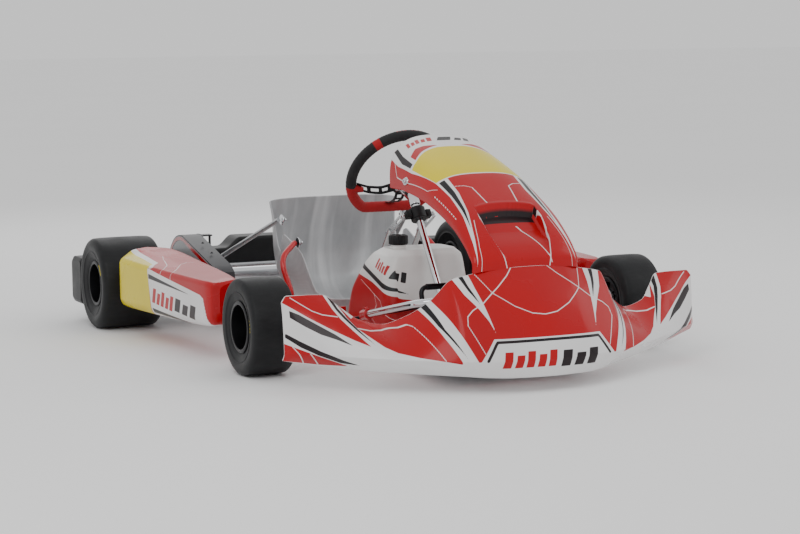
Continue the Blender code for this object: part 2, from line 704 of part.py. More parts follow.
# ---------------------------------------------------------------- bodywork
NOSE_TOP = [
    (0.000, -0.470, 0.302), (0.100, -0.463, 0.298), (0.155, -0.451, 0.288), (0.214, -0.452, 0.276),
    (0.250, -0.420, 0.227), (0.300, -0.383, 0.186), (0.354, -0.347, 0.163), (0.410, -0.335, 0.176),
    (0.452, -0.305, 0.208), (0.489, -0.281, 0.238), (0.540, -0.280, 0.240), (0.585, -0.279, 0.240),
    (0.597, -0.281, 0.226),
]
NOSE_FRONT = [
    (0.000, -0.602, 0.085), (0.100, -0.597, 0.085), (0.155, -0.586, 0.085), (0.214, -0.564, 0.085),
    (0.300, -0.517, 0.088), (0.410, -0.447, 0.092), (0.489, -0.392, 0.096), (0.540, -0.355, 0.100),
    (0.585, -0.312, 0.100), (0.597, -0.292, 0.100),
]
NOSE_BOTTOM = [
    (0.000, -0.592, 0.040), (0.100, -0.580, 0.040), (0.155, -0.558, 0.041), (0.214, -0.517, 0.043),
    (0.300, -0.462, 0.047), (0.410, -0.395, 0.054), (0.489, -0.345, 0.062), (0.540, -0.312, 0.069),
    (0.585, -0.287, 0.076), (0.597, -0.280, 0.078),
]


def make_nose():
    """The front fairing: a thin shell, open behind, from its rear top edge to its lower lip."""
    stations = [x for x, _, _ in NOSE_TOP]
    rows = []
    for x in [-value for value in reversed(stations[1:])] + stations:
        top = Vector((x, *curve_at(NOSE_TOP, abs(x))))
        front = Vector((x, *curve_at(NOSE_FRONT, abs(x))))
        bottom = Vector((x, *curve_at(NOSE_BOTTOM, abs(x))))
        swell = Vector((x, top.y + 0.72 * (front.y - top.y), top.z + 0.42 * (front.z - top.z)))
        row = []
        for t in (0, 0.2, 0.4, 0.6, 0.8, 1):
            row.append((1 - t) ** 2 * top + 2 * t * (1 - t) * swell + t * t * front)
        row.append((front + bottom) / 2 + Vector((0, -0.004, 0)))
        row.append(bottom)
        rows.append(row)
    smooth_shell("nose_fairing", rows, "bodywork", SHELL_WALL, INWARD)


PANEL_HALF = 0.150
PANEL_STATIONS = [
    # crown y, z, edge y, z, depth of the sunken middle channel
    (-0.466, 0.319, -0.449, 0.306, 0.000),
    (-0.441, 0.360, -0.430, 0.332, 0.022),
    (-0.395, 0.404, -0.384, 0.368, 0.034),
    (-0.352, 0.434, -0.345, 0.390, 0.038),
    (-0.345, 0.441, -0.338, 0.394, 0.000),
    (-0.260, 0.489, -0.249, 0.428, 0.000),
    (-0.185, 0.527, -0.163, 0.452, 0.000),
    (-0.100, 0.559, -0.085, 0.466, 0.000),
    (-0.029, 0.583, -0.017, 0.473, 0.000),
    (0.064, 0.613, 0.047, 0.474, 0.000),
]
CHANNEL_HALF = 0.078


def make_panel():
    """The steering-column fairing: an arched shell with a sunken channel under a scoop lip."""
    columns = 14
    rows = []
    for crown_y, crown_z, edge_y, edge_z, sink in PANEL_STATIONS:
        row = []
        for k in range(columns + 1):
            t = 2 * k / columns - 1
            turn = abs(t) * math.pi / 2
            across = math.sin(turn) ** 0.7
            drop = 1 - math.cos(turn) ** 0.7
            x = math.copysign(PANEL_HALF * across, t)
            depth = sink if abs(x) < CHANNEL_HALF else 0.0
            row.append(Vector((x, crown_y + drop * (edge_y - crown_y), crown_z + drop * (edge_z - crown_z) - depth)))
        rows.append(row)
    smooth_shell("front_panel", rows, "bodywork", PANEL_WALL, INWARD)


POD_STATIONS = [
    # y, outer x, inner x, bottom z, outer top z, inner top z
    (0.212, 0.585, 0.545, 0.125, 0.212, 0.222),
    (0.222, 0.607, 0.525, 0.108, 0.221, 0.229),
    (0.260, 0.617, 0.515, 0.099, 0.225, 0.232),
    (0.400, 0.631, 0.500, 0.094, 0.226, 0.237),
    (0.550, 0.644, 0.492, 0.091, 0.227, 0.243),
    (0.700, 0.656, 0.490, 0.089, 0.229, 0.252),
    (0.810, 0.664, 0.500, 0.088, 0.231, 0.260),
    (0.862, 0.667, 0.560, 0.090, 0.231, 0.262),
    (0.872, 0.660, 0.600, 0.100, 0.226, 0.250),
]


def make_side_pods():
    for label, side in SIDES:
        rings = []
        for y, outer, inner, low, top, inner_top in POD_STATIONS:
            width = outer - inner
            ring = [(outer - 0.006, low), (outer, low + 0.018), (outer, top - 0.010), (outer - 0.005, top)]
            ring += [(outer - 0.4 * width, inner_top - 0.006), (inner + 0.2 * width, inner_top), (inner, inner_top - 0.012)]
            ring += [(inner, low + 0.02), (inner + 0.02, low)]
            rings.append([Vector((side * x, y, z)) for x, z in ring])
        place(f"side_pod_{label}", loft(rings), "bodywork")


def make_rear_bumper():
    """A moulded bar behind the rear wheels, with a raised middle."""
    stations = [(-0.690, 1.206, 0.066, 0.190), (-0.682, 1.200, 0.056, 0.200), (-0.470, 1.200, 0.055, 0.202)]
    stations += [(-0.440, 1.226, 0.060, 0.204), (-0.200, 1.226, 0.062, 0.206), (-0.150, 1.222, 0.062, 0.240)]
    stations += [(-x, front, low, top) for x, front, low, top in reversed(stations)]
    rings = []
    for x, front, low, top in stations:
        back = BUMPER_END_Y - 0.02 * (abs(x) / 0.69) ** 4 - (0.008 if abs(x) > 0.685 else 0)
        ring = [(front, low + 0.01), (front, top - 0.01), (front + 0.01, top), (back - 0.016, top)]
        ring += [(back, top - 0.016), (back, low + 0.014), (back - 0.014, low), (front + 0.01, low)]
        rings.append([Vector((x, y, z)) for y, z in ring])
    place("rear_bumper", loft(rings), "plastic")


def make_bumper_tubes():
    corners = mirrored(-1, [BUMPER_BACK, (0.275, -0.378, 0.213), (0.205, -0.428, 0.224)])
    corners[0] = corners[0] + Vector((0, -GAP, 0))
    path = bend(corners + [Vector((-p.x, p.y, p.z)) for p in reversed(corners)], 0.05, 2)
    place("front_bumper_upper", sweep(path, 0.010, 10), "chrome")
    front = HOOP_FRONT_Y - CROSS_R - GAP
    low = [(-0.140, front, HOOP_Z), (-0.140, -0.500, 0.066), (0.140, -0.500, 0.066), (0.140, front, HOOP_Z)]
    place("front_bumper_lower", sweep(bend(low, 0.05, 3), 0.009, 8), "steel")
    rise = REAR_TUBE_Y + CROSS_R + GAP
    hoop = [(-0.230, rise, 0.064), (-0.230, 1.196, 0.072), (-0.230, 1.2115, 0.150)]
    hoop += [(-x, y, z) for x, y, z in reversed(hoop)]
    place("rear_bumper_hoop", sweep(bend(hoop, 0.04, 3), 0.009, 8), "steel")
    for label, side in SIDES:
        start = WAIST_X + RAIL_R + GAP
        bar = [(start, 0.310, RAIL_Z), (0.380, 0.310, 0.075), (0.478, 0.330, 0.140), (0.478, 0.700, 0.140)]
        bar += [(0.390, 0.720, 0.080), (0.2725, 0.720, 0.060)]
        place(f"side_bar_{label}", sweep(bend(mirrored(side, bar), 0.06, 2), 0.010, 8), "steel")


# ---------------------------------------------------------------- tank, guard, pedals
CAP_CENTRE = Vector((-0.048, 0.222, 0.296))


def make_tank():
    """A moulded fuel tank with a raked back, and its screw cap on a short neck."""
    levels = [
        # z, half width, front y, rear y
        (0.043, 0.112, 0.110, 0.425), (0.052, 0.128, 0.100, 0.433), (0.150, 0.131, 0.112, 0.398),
        (0.225, 0.124, 0.128, 0.338), (0.270, 0.108, 0.146, 0.296), (0.288, 0.082, 0.164, 0.276),
    ]
    rings = []
    for z, half, front, rear in levels:
        corner = min(0.04, half * 0.4)
        outline = [(half - corner, front), (half, front + corner), (half, rear - corner), (half - corner, rear)]
        outline += [(-x, y) for x, y in reversed(outline)]
        rings.append([(x, y, z) for x, y in outline])
    tank = place("fuel_tank", loft(rings), "tank")
    add(tank, rod(CAP_CENTRE - Vector((0, 0, 0.03)), CAP_CENTRE + Vector((0, 0, 0.002)), 0.021, 16))
    outline = [(0.0024, 0.0), (0.0024, 0.0275), (0.026, 0.0275), (0.031, 0.024), (0.031, 0.0)]
    rings = [[CAP_CENTRE + Vector((0, 0, z)) + v * r for v in circle_vectors(Vector((0, 0, 1)), 18)]
             for z, r in outline if r]
    place("fuel_cap", loft(rings), "plastic", CAP_CENTRE)


GUARD_OUT_X = -0.412
GUARD_IN_X = -0.352
GUARD_R = 0.134


def make_chain_guard():
    """A cover over the chain: an outer side wall and a roof band, open below and inside."""
    hub = Vector((WHEELBASE, REAR_TYRE_R))
    arc = [math.radians(-35 + 17.5 * k) for k in range(9)]
    outer = [(hub.x + GUARD_R * math.cos(t), hub.y + GUARD_R * math.sin(t)) for t in arc]
    inner = [(hub.x + (GUARD_R - 0.003) * math.cos(t), hub.y + (GUARD_R - 0.003) * math.sin(t)) for t in arc]
    outer += [(0.760, 0.204), (0.733, 0.186), (0.728, 0.160)]
    inner += [(0.761, 0.201), (0.7355, 0.1845), (0.731, 0.160)]
    roof = place("chain_guard", plate(outer + inner[::-1], GUARD_OUT_X, GUARD_IN_X), "plastic")
    slot = [(hub.x + 0.05 * math.cos(t), hub.y + 0.05 * math.sin(t)) for t in
            [math.radians(180 * k / 6) for k in range(7)]]
    floor_z = 0.112
    wall = outer[1:] + [(0.728, floor_z), (1.0, floor_z), slot[-1]] + slot[-2::-1] + [(1.1, floor_z)]
    add(roof, plate(wall, GUARD_OUT_X, GUARD_OUT_X + 0.003))
    bracket_x = -REAR_RAIL_X - 0.0135
    add(roof, block((GUARD_IN_X - 0.004, 1.034, 0.2660), (bracket_x, 1.066, 0.2705)))
    add(roof, block((bracket_x - 0.003, 1.034, 0.168), (bracket_x, 1.066, 0.2690)))


def make_pedals():
    for name, side in (("throttle_pedal", -1), ("brake_pedal", 1)):
        pivot = Vector((side * 0.168, PEDAL_Y, HOOP_Z))
        half = Vector((0.011, 0, 0))
        pedal = place(name, rod(pivot - half, pivot + half, 0.0125, 14), "anodised", pivot)
        arm = mirrored(side, [(0.168, PEDAL_Y + 0.003, HOOP_Z + 0.008), (0.172, -0.300, 0.110), (0.206, -0.282, 0.165)])
        arm += mirrored(side, [(0.206, -0.262, 0.238), (0.118, -0.262, 0.238), (0.112, -0.268, 0.205)])
        add(pedal, sweep(bend(arm, 0.02, 2), 0.0065, 8))
        cut(pedal, rod(pivot - half * 3, pivot + half * 3, 0.0060, 10))
    cylinder_axis = Vector((BRAKE_X, -0.165, BRAKE_Z))
    back = Vector((0, 1, 0))
    cylinder = place("master_cylinder", rod(cylinder_axis, cylinder_axis + back * 0.085, 0.014, 14), "anodised")
    add(cylinder, block((BRAKE_X - 0.010, -0.145, 0.0397), (BRAKE_X + 0.010, -0.100, BRAKE_Z)))
    add(cylinder, rod((BRAKE_X, -0.115, BRAKE_Z), (BRAKE_X, -0.115, BRAKE_Z + 0.042), 0.015, 12))
    cut(cylinder, rod(cylinder_axis - back * 0.01, cylinder_axis + back * 0.050, bore(0.0035, 8) + 0.0005, 8))
    rod_front = Vector((BRAKE_X, -0.296, BRAKE_Z))
    link = place("brake_rod", rod(rod_front, cylinder_axis + back * 0.045, 0.0035, 8), "steel", rod_front)
    add(link, rod(rod_front - half * 0.5, rod_front + half * 0.5, 0.008, 10))


make_frame()
make_carriers()
make_stub_axles()
make_tie_rods()
make_steering()
make_steering_mounts()
make_front_wheels()
make_rear_wheels()
make_caliper()
make_seat()
make_seat_supports()
make_nose()
make_panel()
make_side_pods()
make_rear_bumper()
make_bumper_tubes()
make_tank()
make_chain_guard()
make_pedals()
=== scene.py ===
"""Finished look of the kart chassis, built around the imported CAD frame.

Shapes are worked out in kart coordinates, with Y measured back from the front axle, and
every piece is then moved by SHIFT into the frame's own coordinates.
"""
import math

import bmesh
import bpy
import numpy as np
from mathutils import Matrix, Vector


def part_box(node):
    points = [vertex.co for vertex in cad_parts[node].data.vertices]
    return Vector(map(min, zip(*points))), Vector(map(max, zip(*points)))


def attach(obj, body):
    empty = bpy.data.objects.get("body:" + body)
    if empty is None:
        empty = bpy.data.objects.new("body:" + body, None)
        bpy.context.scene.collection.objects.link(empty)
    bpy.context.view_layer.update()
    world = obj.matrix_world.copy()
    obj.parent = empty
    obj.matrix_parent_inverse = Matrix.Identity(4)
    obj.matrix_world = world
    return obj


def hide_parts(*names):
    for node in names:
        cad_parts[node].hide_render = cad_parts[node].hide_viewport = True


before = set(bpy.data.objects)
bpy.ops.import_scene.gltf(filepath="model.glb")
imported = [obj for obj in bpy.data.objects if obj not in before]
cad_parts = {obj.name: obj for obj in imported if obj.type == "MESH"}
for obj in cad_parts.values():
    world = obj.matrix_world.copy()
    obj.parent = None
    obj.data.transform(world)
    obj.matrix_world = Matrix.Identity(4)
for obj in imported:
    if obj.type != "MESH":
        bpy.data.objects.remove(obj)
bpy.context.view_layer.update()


def centre_of(node):
    low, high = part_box(node)
    return (low + high) / 2


# Where the CAD parts are
SHIFT = Vector((0, centre_of("front_tyre_right").y, 0))
AXLE_Y = centre_of("rear_axle").y - SHIFT.y
AXLE_Z = centre_of("rear_axle").z
SIDES = (("right", -1), ("left", 1))
ROUND = 28

# Base colours
RED = (0.46, 0.0, 0.004)
WHITE = (0.80, 0.80, 0.80)
INK = (0.006, 0.007, 0.009)
YELLOW = (0.76, 0.62, 0.0)


# ---------------------------------------------------------------- materials
class Nodes:
    """Short ways to add and link shader nodes in one material."""

    def __init__(self, name):
        self.material = bpy.data.materials.new(name)
        self.material.use_nodes = True
        self.tree = self.material.node_tree
        self.shader = self.tree.nodes["Principled BSDF"]

    def add(self, kind, **values):
        node = self.tree.nodes.new(kind)
        for key, value in values.items():
            setattr(node, key, value)
        return node

    def link(self, source, target):
        self.tree.links.new(source, target)

    def feed(self, node, index, value):
        """Link a socket or set a plain value."""
        if hasattr(value, "links"):
            self.link(value, node.inputs[index])
        else:
            node.inputs[index].default_value = value

    def math(self, operation, first, second=0.0):
        node = self.add("ShaderNodeMath", operation=operation)
        self.feed(node, 0, first)
        self.feed(node, 1, second)
        return node.outputs[0]

    def noise(self, scale, detail=4.0, roughness=0.55, stretch=(1, 1, 1)):
        place = self.add("ShaderNodeTexCoord")
        mapping = self.add("ShaderNodeMapping")
        self.link(place.outputs["Object"], mapping.inputs["Vector"])
        mapping.inputs["Scale"].default_value = stretch
        node = self.add("ShaderNodeTexNoise")
        self.link(mapping.outputs["Vector"], node.inputs["Vector"])
        node.inputs["Scale"].default_value = scale
        node.inputs["Detail"].default_value = detail
        node.inputs["Roughness"].default_value = roughness
        return node.outputs["Fac"]

    def spread(self, value, low, high, low_out, high_out):
        node = self.add("ShaderNodeMapRange")
        for index, item in enumerate((value, low, high, low_out, high_out)):
            self.feed(node, index, item)
        return node.outputs[0]

    def mix(self, amount, first, second):
        node = self.add("ShaderNodeMix", data_type="RGBA")
        self.feed(node, 0, amount)
        for index, value in ((6, first), (7, second)):
            if isinstance(value, tuple) and len(value) == 3:
                value = (*value, 1)
            self.feed(node, index, value)
        return node.outputs[2]

    def drift(self, noise, first, second):
        """Two colours that follow a noise."""
        return self.mix(self.spread(noise, 0.3, 0.7, 0.0, 1.0), first, second)

    def bump(self, height, strength, distance):
        node = self.add("ShaderNodeBump")
        node.inputs["Strength"].default_value = strength
        node.inputs["Distance"].default_value = distance
        self.link(height, node.inputs["Height"])
        self.link(node.outputs[0], self.shader.inputs["Normal"])


def tinted(colour, factor):
    return tuple(min(1.0, c * factor) for c in colour)


def surface(name, colour, roughness, metallic=0.0, coat=0.0, mottle=(6.0, 0.12),
            grain=(900.0, 0.06, 0.0004),
            stretch=(1, 1, 1), dust=0.015):
    """A finish with broad colour drift, fine grain, uneven gloss and a little dust in it."""
    n = Nodes(name)
    broad = n.noise(mottle[0], 5, 0.6, stretch)
    fine = n.noise(grain[0], 3, 0.5, stretch)
    tone = n.drift(broad, tinted(colour, 1 - mottle[1]), tinted(colour, 1 + mottle[1]))
    dusty = n.spread(n.noise(38, 6, 0.7), 0.56, 0.74, 0.0, dust)
    n.link(n.mix(dusty, tone, (0.30, 0.29, 0.27)), n.shader.inputs["Base Color"])
    gloss = n.spread(broad, 0.25, 0.75, roughness * 0.85, roughness * 1.15)
    n.link(n.math("ADD", gloss, n.math("MULTIPLY", dusty, 0.5)), n.shader.inputs["Roughness"])
    n.shader.inputs["Metallic"].default_value = metallic
    n.shader.inputs["Coat Weight"].default_value = coat
    n.shader.inputs["Coat Roughness"].default_value = 0.06
    n.shader.inputs["Specular IOR Level"].default_value = 0.5 if metallic > 0.5 else 0.3
    n.bump(fine, grain[1], grain[2])
    return n.material


MATERIALS = {
    "frame_paint": surface("frame_paint", (0.50, 0.008, 0.014), 0.28, 0.15, 0.6, (9, 0.10),
                           (420, 0.10, 0.0005)),
    "black_plastic": surface("black_plastic", (0.008, 0.008, 0.009), 0.42, 0, 0, (14, 0.25),
                             (1500, 0.35, 0.0004)),
    "black_anodised": surface("black_anodised", (0.016, 0.016, 0.018), 0.30, 0.75, 0, (12, 0.2),
                              (1300, 0.2, 0.0003)),
    "chrome": surface("chrome", (0.70, 0.71, 0.73), 0.10, 1, 0, (5, 0.06), (500, 0.04, 0.0002)),
    "steel": surface("steel", (0.50, 0.51, 0.52), 0.30, 1, 0, (10, 0.12), (700, 0.16, 0.0003), (1, 6, 6)),
    "alloy": surface("alloy", (0.62, 0.63, 0.65), 0.34, 1, 0, (8, 0.10), (900, 0.2, 0.0003), (1, 8, 1)),
    "bright_plate": surface("bright_plate", (0.60, 0.61, 0.62), 0.22, 1, 0, (18, 0.1), (800, 0.1, 0.0003)),
    "grey_side": surface("grey_side", (0.30, 0.31, 0.32), 0.30, 0.1, 0.2, (9, 0.10), (900, 0.14, 0.0003)),
    "guard_top": surface("guard_top", (0.045, 0.046, 0.050), 0.34, 0, 0, (9, 0.18), (1200, 0.25, 0.0003)),
    "clear_coat_red": surface("clear_coat_red", RED, 0.2, 0, 0.7, (5, 0.08), (300, 0.06, 0.0004)),
}


def rubber():
    n = Nodes("tyre_rubber")
    broad = n.noise(11, 6, 0.65)
    scuff = n.spread(n.noise(70, 6, 0.7, (0.35, 1, 1)), 0.45, 0.72, 0.0, 0.45)
    base = n.drift(broad, (0.005, 0.0053, 0.006), (0.010, 0.0105, 0.012))
    worn = n.mix(scuff, base, (0.019, 0.019, 0.021))
    inked = inks(n, worn, [("mark", YELLOW)])
    n.link(inked, n.shader.inputs["Base Color"])
    n.link(n.spread(broad, 0.3, 0.7, 0.40, 0.58), n.shader.inputs["Roughness"])
    n.shader.inputs["Specular IOR Level"].default_value = 0.28
    n.bump(n.math("ADD", n.noise(900, 3), n.math("MULTIPLY", scuff, 0.8)), 0.35, 0.0006)
    return n.material


def inks(n, base, layers):
    """Printed film over a base colour; each layer reads a signed distance stored on the mesh."""
    colour = base
    for attribute, ink in layers:
        field = n.add("ShaderNodeAttribute", attribute_name=attribute)
        inside = n.spread(field.outputs["Fac"], -0.0003, 0.0003, 1.0, 0.0)
        colour = n.mix(inside, colour, ink)
    return colour


def printed(name, base, layers, roughness=0.26, coat=0.16):
    """Glossy moulded bodywork with printed film, orange-peel ripple and faint dust."""
    n = Nodes(name)
    broad = n.noise(4.5, 4, 0.5)
    colour = inks(n, base, layers)
    shade = n.mix(n.spread(broad, 0.3, 0.7, 0.0, 0.14), colour, (0.10, 0.02, 0.02))
    dusty = n.spread(n.noise(46, 6, 0.7), 0.60, 0.80, 0.0, 0.02)
    n.link(n.mix(dusty, shade, (0.6, 0.58, 0.55)), n.shader.inputs["Base Color"])
    n.link(n.spread(broad, 0.3, 0.7, roughness * 0.9, roughness * 1.2), n.shader.inputs["Roughness"])
    n.shader.inputs["Coat Weight"].default_value = coat
    n.shader.inputs["Coat Roughness"].default_value = 0.05
    n.shader.inputs["Specular IOR Level"].default_value = 0.22
    n.bump(n.noise(150, 2, 0.4), 0.05, 0.0006)
    return n.material


def fibre():
    """Silvery moulded seat: fine weave in the cloth, cloudy resin, and long vertical sheen painted into the
    colour as lighter streaks.
    """
    n = Nodes("seat_fibre")
    place = n.add("ShaderNodeTexCoord")
    weave = []
    for direction in ("X", "Z"):
        wave = n.add("ShaderNodeTexWave", wave_type="BANDS", bands_direction=direction)
        n.link(place.outputs["Object"], wave.inputs["Vector"])
        wave.inputs["Scale"].default_value = 95
        wave.inputs["Distortion"].default_value = 1.4
        weave.append(wave.outputs["Fac"])
    cloth = n.math("MULTIPLY", weave[0], weave[1])
    cloud = n.noise(9, 6, 0.6, (1.6, 1, 0.6))
    # Painted highlight: long vertical streaks lighten the base colour, standing in for the resin's glossy
    # sheen.
    painted_sheen = n.noise(13, 3, 0.5, (1.5, 0.12, 0.12))
    base = n.drift(cloud, (0.42, 0.43, 0.44), (0.58, 0.59, 0.60))
    sheen_painted_colour = n.mix(n.spread(painted_sheen, 0.52, 0.70, 0.0, 0.65), base, (0.84, 0.85, 0.86))
    n.link(n.mix(n.math("MULTIPLY", cloth, 0.20), sheen_painted_colour, (0.22, 0.225, 0.23)), n.shader.inputs["Base Color"])
    n.shader.inputs["Metallic"].default_value = 0.30
    n.link(n.spread(cloud, 0.3, 0.7, 0.30, 0.46), n.shader.inputs["Roughness"])
    n.bump(n.math("ADD", cloth, n.math("MULTIPLY", cloud, 0.6)), 0.30, 0.0006)
    return n.material


def suede():
    """Steering-wheel cover: black with red lower third and marker bands, napped surface."""
    n = Nodes("grip_suede")
    fluff = n.noise(650, 6, 0.7)
    patch = n.noise(34, 5, 0.6)
    black = n.drift(patch, (0.005, 0.005, 0.006), (0.012, 0.012, 0.013))
    n.link(inks(n, black, [("grip_red", (0.40, 0.001, 0.005))]), n.shader.inputs["Base Color"])
    n.shader.inputs["Roughness"].default_value = 0.78
    n.shader.inputs["Sheen Weight"].default_value = 0.08
    n.bump(n.math("ADD", fluff, patch), 0.45, 0.0008)
    return n.material


MATERIALS["tyre_rubber"] = rubber()
MATERIALS["seat_fibre"] = fibre()
MATERIALS["grip_suede"] = suede()


# ---------------------------------------------------------------- mesh helpers
def loft(rings, caps=True, closed=False):
    """Skin rings that have equal point counts; a one-point ring is a tip."""
    mesh = bmesh.new()
    rows = [[mesh.verts.new(point) for point in ring] for ring in rings]
    pairs = list(zip(rows, rows[1:]))
    if closed:
        pairs.append((rows[-1], rows[0]))
    for low, high in pairs:
        count = max(len(low), len(high))
        for i in range(count):
            j = (i + 1) % count
            corners = [low[i % len(low)], low[j % len(low)], high[j % len(high)], high[i % len(high)]]
            mesh.faces.new(list(dict.fromkeys(corners)))
    if caps and not closed:
        for row in (rows[0], rows[-1]):
            if len(row) > 2:
                mesh.faces.new(row)
    return mesh


def sweep(path, radius, sides=ROUND, closed=False):
    """A round bar along a path, its section carried along without twisting."""
    points = [Vector(point) for point in path]
    count = len(points)
    rings = []
    across = None
    for i, point in enumerate(points):
        before = points[i - 1] if closed or i else point
        after = points[(i + 1) % count] if closed or i < count - 1 else point
        along = (after - before).normalized()
        if across is None:
            across = along.orthogonal().normalized() if abs(along.x) > 0.9 else along.cross((1, 0, 0))
        across = (across - along * across.dot(along)).normalized()
        up = along.cross(across)
        size = radius[i] if isinstance(radius, (list, tuple)) else radius
        turns = [2 * math.pi * (k + 0.5) / sides for k in range(sides)]
        rings.append([point + size * (math.cos(t) * across + math.sin(t) * up) for t in turns])
    return loft(rings, closed=closed)


def bend(points, radius, steps=10):
    """Round the corners of a line of points with tangent curves of about the given radius."""
    corners = [Vector(point) for point in points]
    path = [corners[0]]
    for before, corner, after in zip(corners, corners[1:], corners[2:]):
        back = before - corner
        ahead = after - corner
        half_angle = back.angle(ahead) / 2
        reach = min(radius / math.tan(half_angle), back.length * 0.48, ahead.length * 0.48)
        start = corner + back.normalized() * reach
        end = corner + ahead.normalized() * reach
        for k in range(steps + 1):
            t = k / steps
            path.append((1 - t) ** 2 * start + 2 * t * (1 - t) * corner + t * t * end)
    path.append(corners[-1])
    return path


def turned(profile, centre, axis=(1, 0, 0), sides=64):
    """Spin a closed outline of (distance along the axis, radius) points about an axis."""
    along = Vector(axis).normalized()
    across = Vector((0, 0, 1)) if abs(along.x) > 0.9 else Vector((1, 0, 0))
    across = (across - along * across.dot(along)).normalized()
    up = along.cross(across)
    rings = []
    for k in range(sides):
        turn = 2 * math.pi * (k + 0.5) / sides
        out = math.cos(turn) * across + math.sin(turn) * up
        rings.append([Vector(centre) + along * a + out * r for a, r in profile])
    return loft(rings, closed=True)


def ring_outline(half, inner, outer, across=0.0, along=None):
    """Outline of a ring for turned(): half its length, its radii and the size of its chamfers."""
    if not across:
        return [(-half, inner), (-half, outer), (half, outer), (half, inner)]
    step = across if along is None else along
    return [(-half, inner), (-half, outer - across), (-half + step, outer), (half - step, outer),
            (half, outer - across), (half, inner)]


def rod(start, end, radius, sides=ROUND, edge=0.0008):
    """A bar with small chamfers at both ends."""
    begin = Vector(start)
    finish = Vector(end)
    step = (finish - begin).normalized() * min(edge, radius * 0.3)
    inner = radius - min(edge, radius * 0.3)
    return sweep([begin, begin + step, finish - step, finish], [inner, radius, radius, inner], sides)


def block(low, high, turn=None, pivot=(0, 0, 0), edge=0.002):
    """A box between two corners with rounded edges, turned about a pivot if asked."""
    mesh = bmesh.new()
    bmesh.ops.create_cube(mesh, size=1)
    low = Vector(low)
    high = Vector(high)
    bmesh.ops.scale(mesh, verts=mesh.verts, vec=high - low)
    bmesh.ops.translate(mesh, verts=mesh.verts, vec=(low + high) / 2)
    soften(mesh, min(edge, min(high - low) * 0.3))
    if turn is not None:
        bmesh.ops.rotate(mesh, verts=mesh.verts, cent=pivot, matrix=turn)
    return mesh


def soften(mesh, edge, angle=30):
    """Round every edge sharper than an angle."""
    sharp = [e for e in mesh.edges if len(e.link_faces) == 2 and e.calc_face_angle(0) > math.radians(angle)]
    bmesh.ops.bevel(mesh, geom=sharp, offset=edge, segments=3, profile=0.5, affect="EDGES",
                    clamp_overlap=True)
    return mesh


def plate(outline, low, high, across="X", edge=0.0006):
    """A flat sheet with softened edges: an outline in the other two axes, between two levels."""
    order = {"X": lambda a, b, level: (level, a, b), "Z": lambda a, b, level: (a, b, level)}[across]
    mesh = loft([[order(a, b, level) for a, b in outline] for level in (low, high)])
    return soften(mesh, edge, 50)


def stadium(start, end, radius, steps=12):
    """Outline of a bar with two round ends."""
    begin = Vector(start)
    finish = Vector(end)
    heading = math.atan2(*(finish - begin).yx)
    outline = []
    for centre, offset in ((finish, -0.5), (begin, 0.5)):
        for k in range(steps + 1):
            turn = heading + math.pi * (offset + k / steps)
            outline.append((centre.x + radius * math.cos(turn), centre.y + radius * math.sin(turn)))
    return outline


def both_ways(points):
    """A half line or outline, carried on by its mirror image."""
    return [*points, *[(-x, *rest) for x, *rest in reversed(points)]]


def round_spots(centre, x, radius, count, start=0.0):
    """Points evenly round the X direction, moved along it by x; start is in steps."""
    turns = [2 * math.pi * (k + start) / count for k in range(count)]
    return [centre + Vector((x, radius * math.cos(t), radius * math.sin(t))) for t in turns]


def pierced(mesh, layers, solid, wrap):
    """Two skins over the solid cells of a grid, and a wall round every opening."""
    first, second = layers
    for r, k in sorted(solid):
        j = (k + 1) % wrap
        for grid in layers:
            mesh.faces.new((grid[r][k], grid[r][j], grid[r + 1][j], grid[r + 1][k]))
        near = (((r - 1, k), (r, k), (r, j)), ((r + 1, k), (r + 1, k), (r + 1, j)),
                ((r, (k - 1) % wrap), (r, k), (r + 1, k)), ((r, j), (r, j), (r + 1, j)))
        for neighbour, (a, b), (c, d) in near:
            if neighbour not in solid:
                mesh.faces.new((first[a][b], first[c][d], second[c][d], second[a][b]))
    return mesh


def mirrored(side, points):
    return [Vector((side * x, y, z)) for x, y, z in points]


def around(axis, sides):
    """Unit vectors around an axis."""
    across = Vector(axis).orthogonal().normalized()
    up = Vector(axis).cross(across)
    return [math.cos(2 * math.pi * k / sides) * across + math.sin(2 * math.pi * k / sides) * up
            for k in range(sides)]


def bead(centre, axis, radius, size=0.0022):
    """A weld bead: a closed ring whose thickness ripples like laid metal."""
    path = [Vector(centre) + v * radius for v in around(Vector(axis).normalized(), 48)]
    sizes = [size * (1 + 0.22 * math.sin(k * 2.1)) for k in range(48)]
    return sweep(path, sizes, 8, closed=True)


def bolt(point, axis, size=0.004, washer=True):
    """A socket screw on a washer; the axis points out of the surface."""
    out = Vector(axis).normalized()
    base = Vector(point)
    made = []
    if washer:
        made.append(turned([(0, size * 0.5), (0, size * 2.1), (size * 0.3, size * 2.1),
                            (size * 0.4, size * 2.0),
                            (size * 0.4, size * 0.5)], base, out, 28))
    head = [(size * 0.3, 0.0001), (size * 0.3, size * 1.25), (size * 1.3, size * 1.25),
            (size * 1.5, size * 1.1)]
    head += [(size * 1.5, size * 0.6), (size * 0.8, size * 0.55), (size * 0.8, 0.0001)]
    made.append(turned(head, base, out, 24))
    return made


def hexagon(point, axis, size, height):
    """A chamfered six-sided nut."""
    out = Vector(axis).normalized()
    rings = []
    for level, share in ((0, 0.93), (0.12, 1), (0.85, 1), (1, 0.88)):
        rings.append([Vector(point) + out * height * level + v * size * share for v in around(out, 6)])
    return loft(rings)


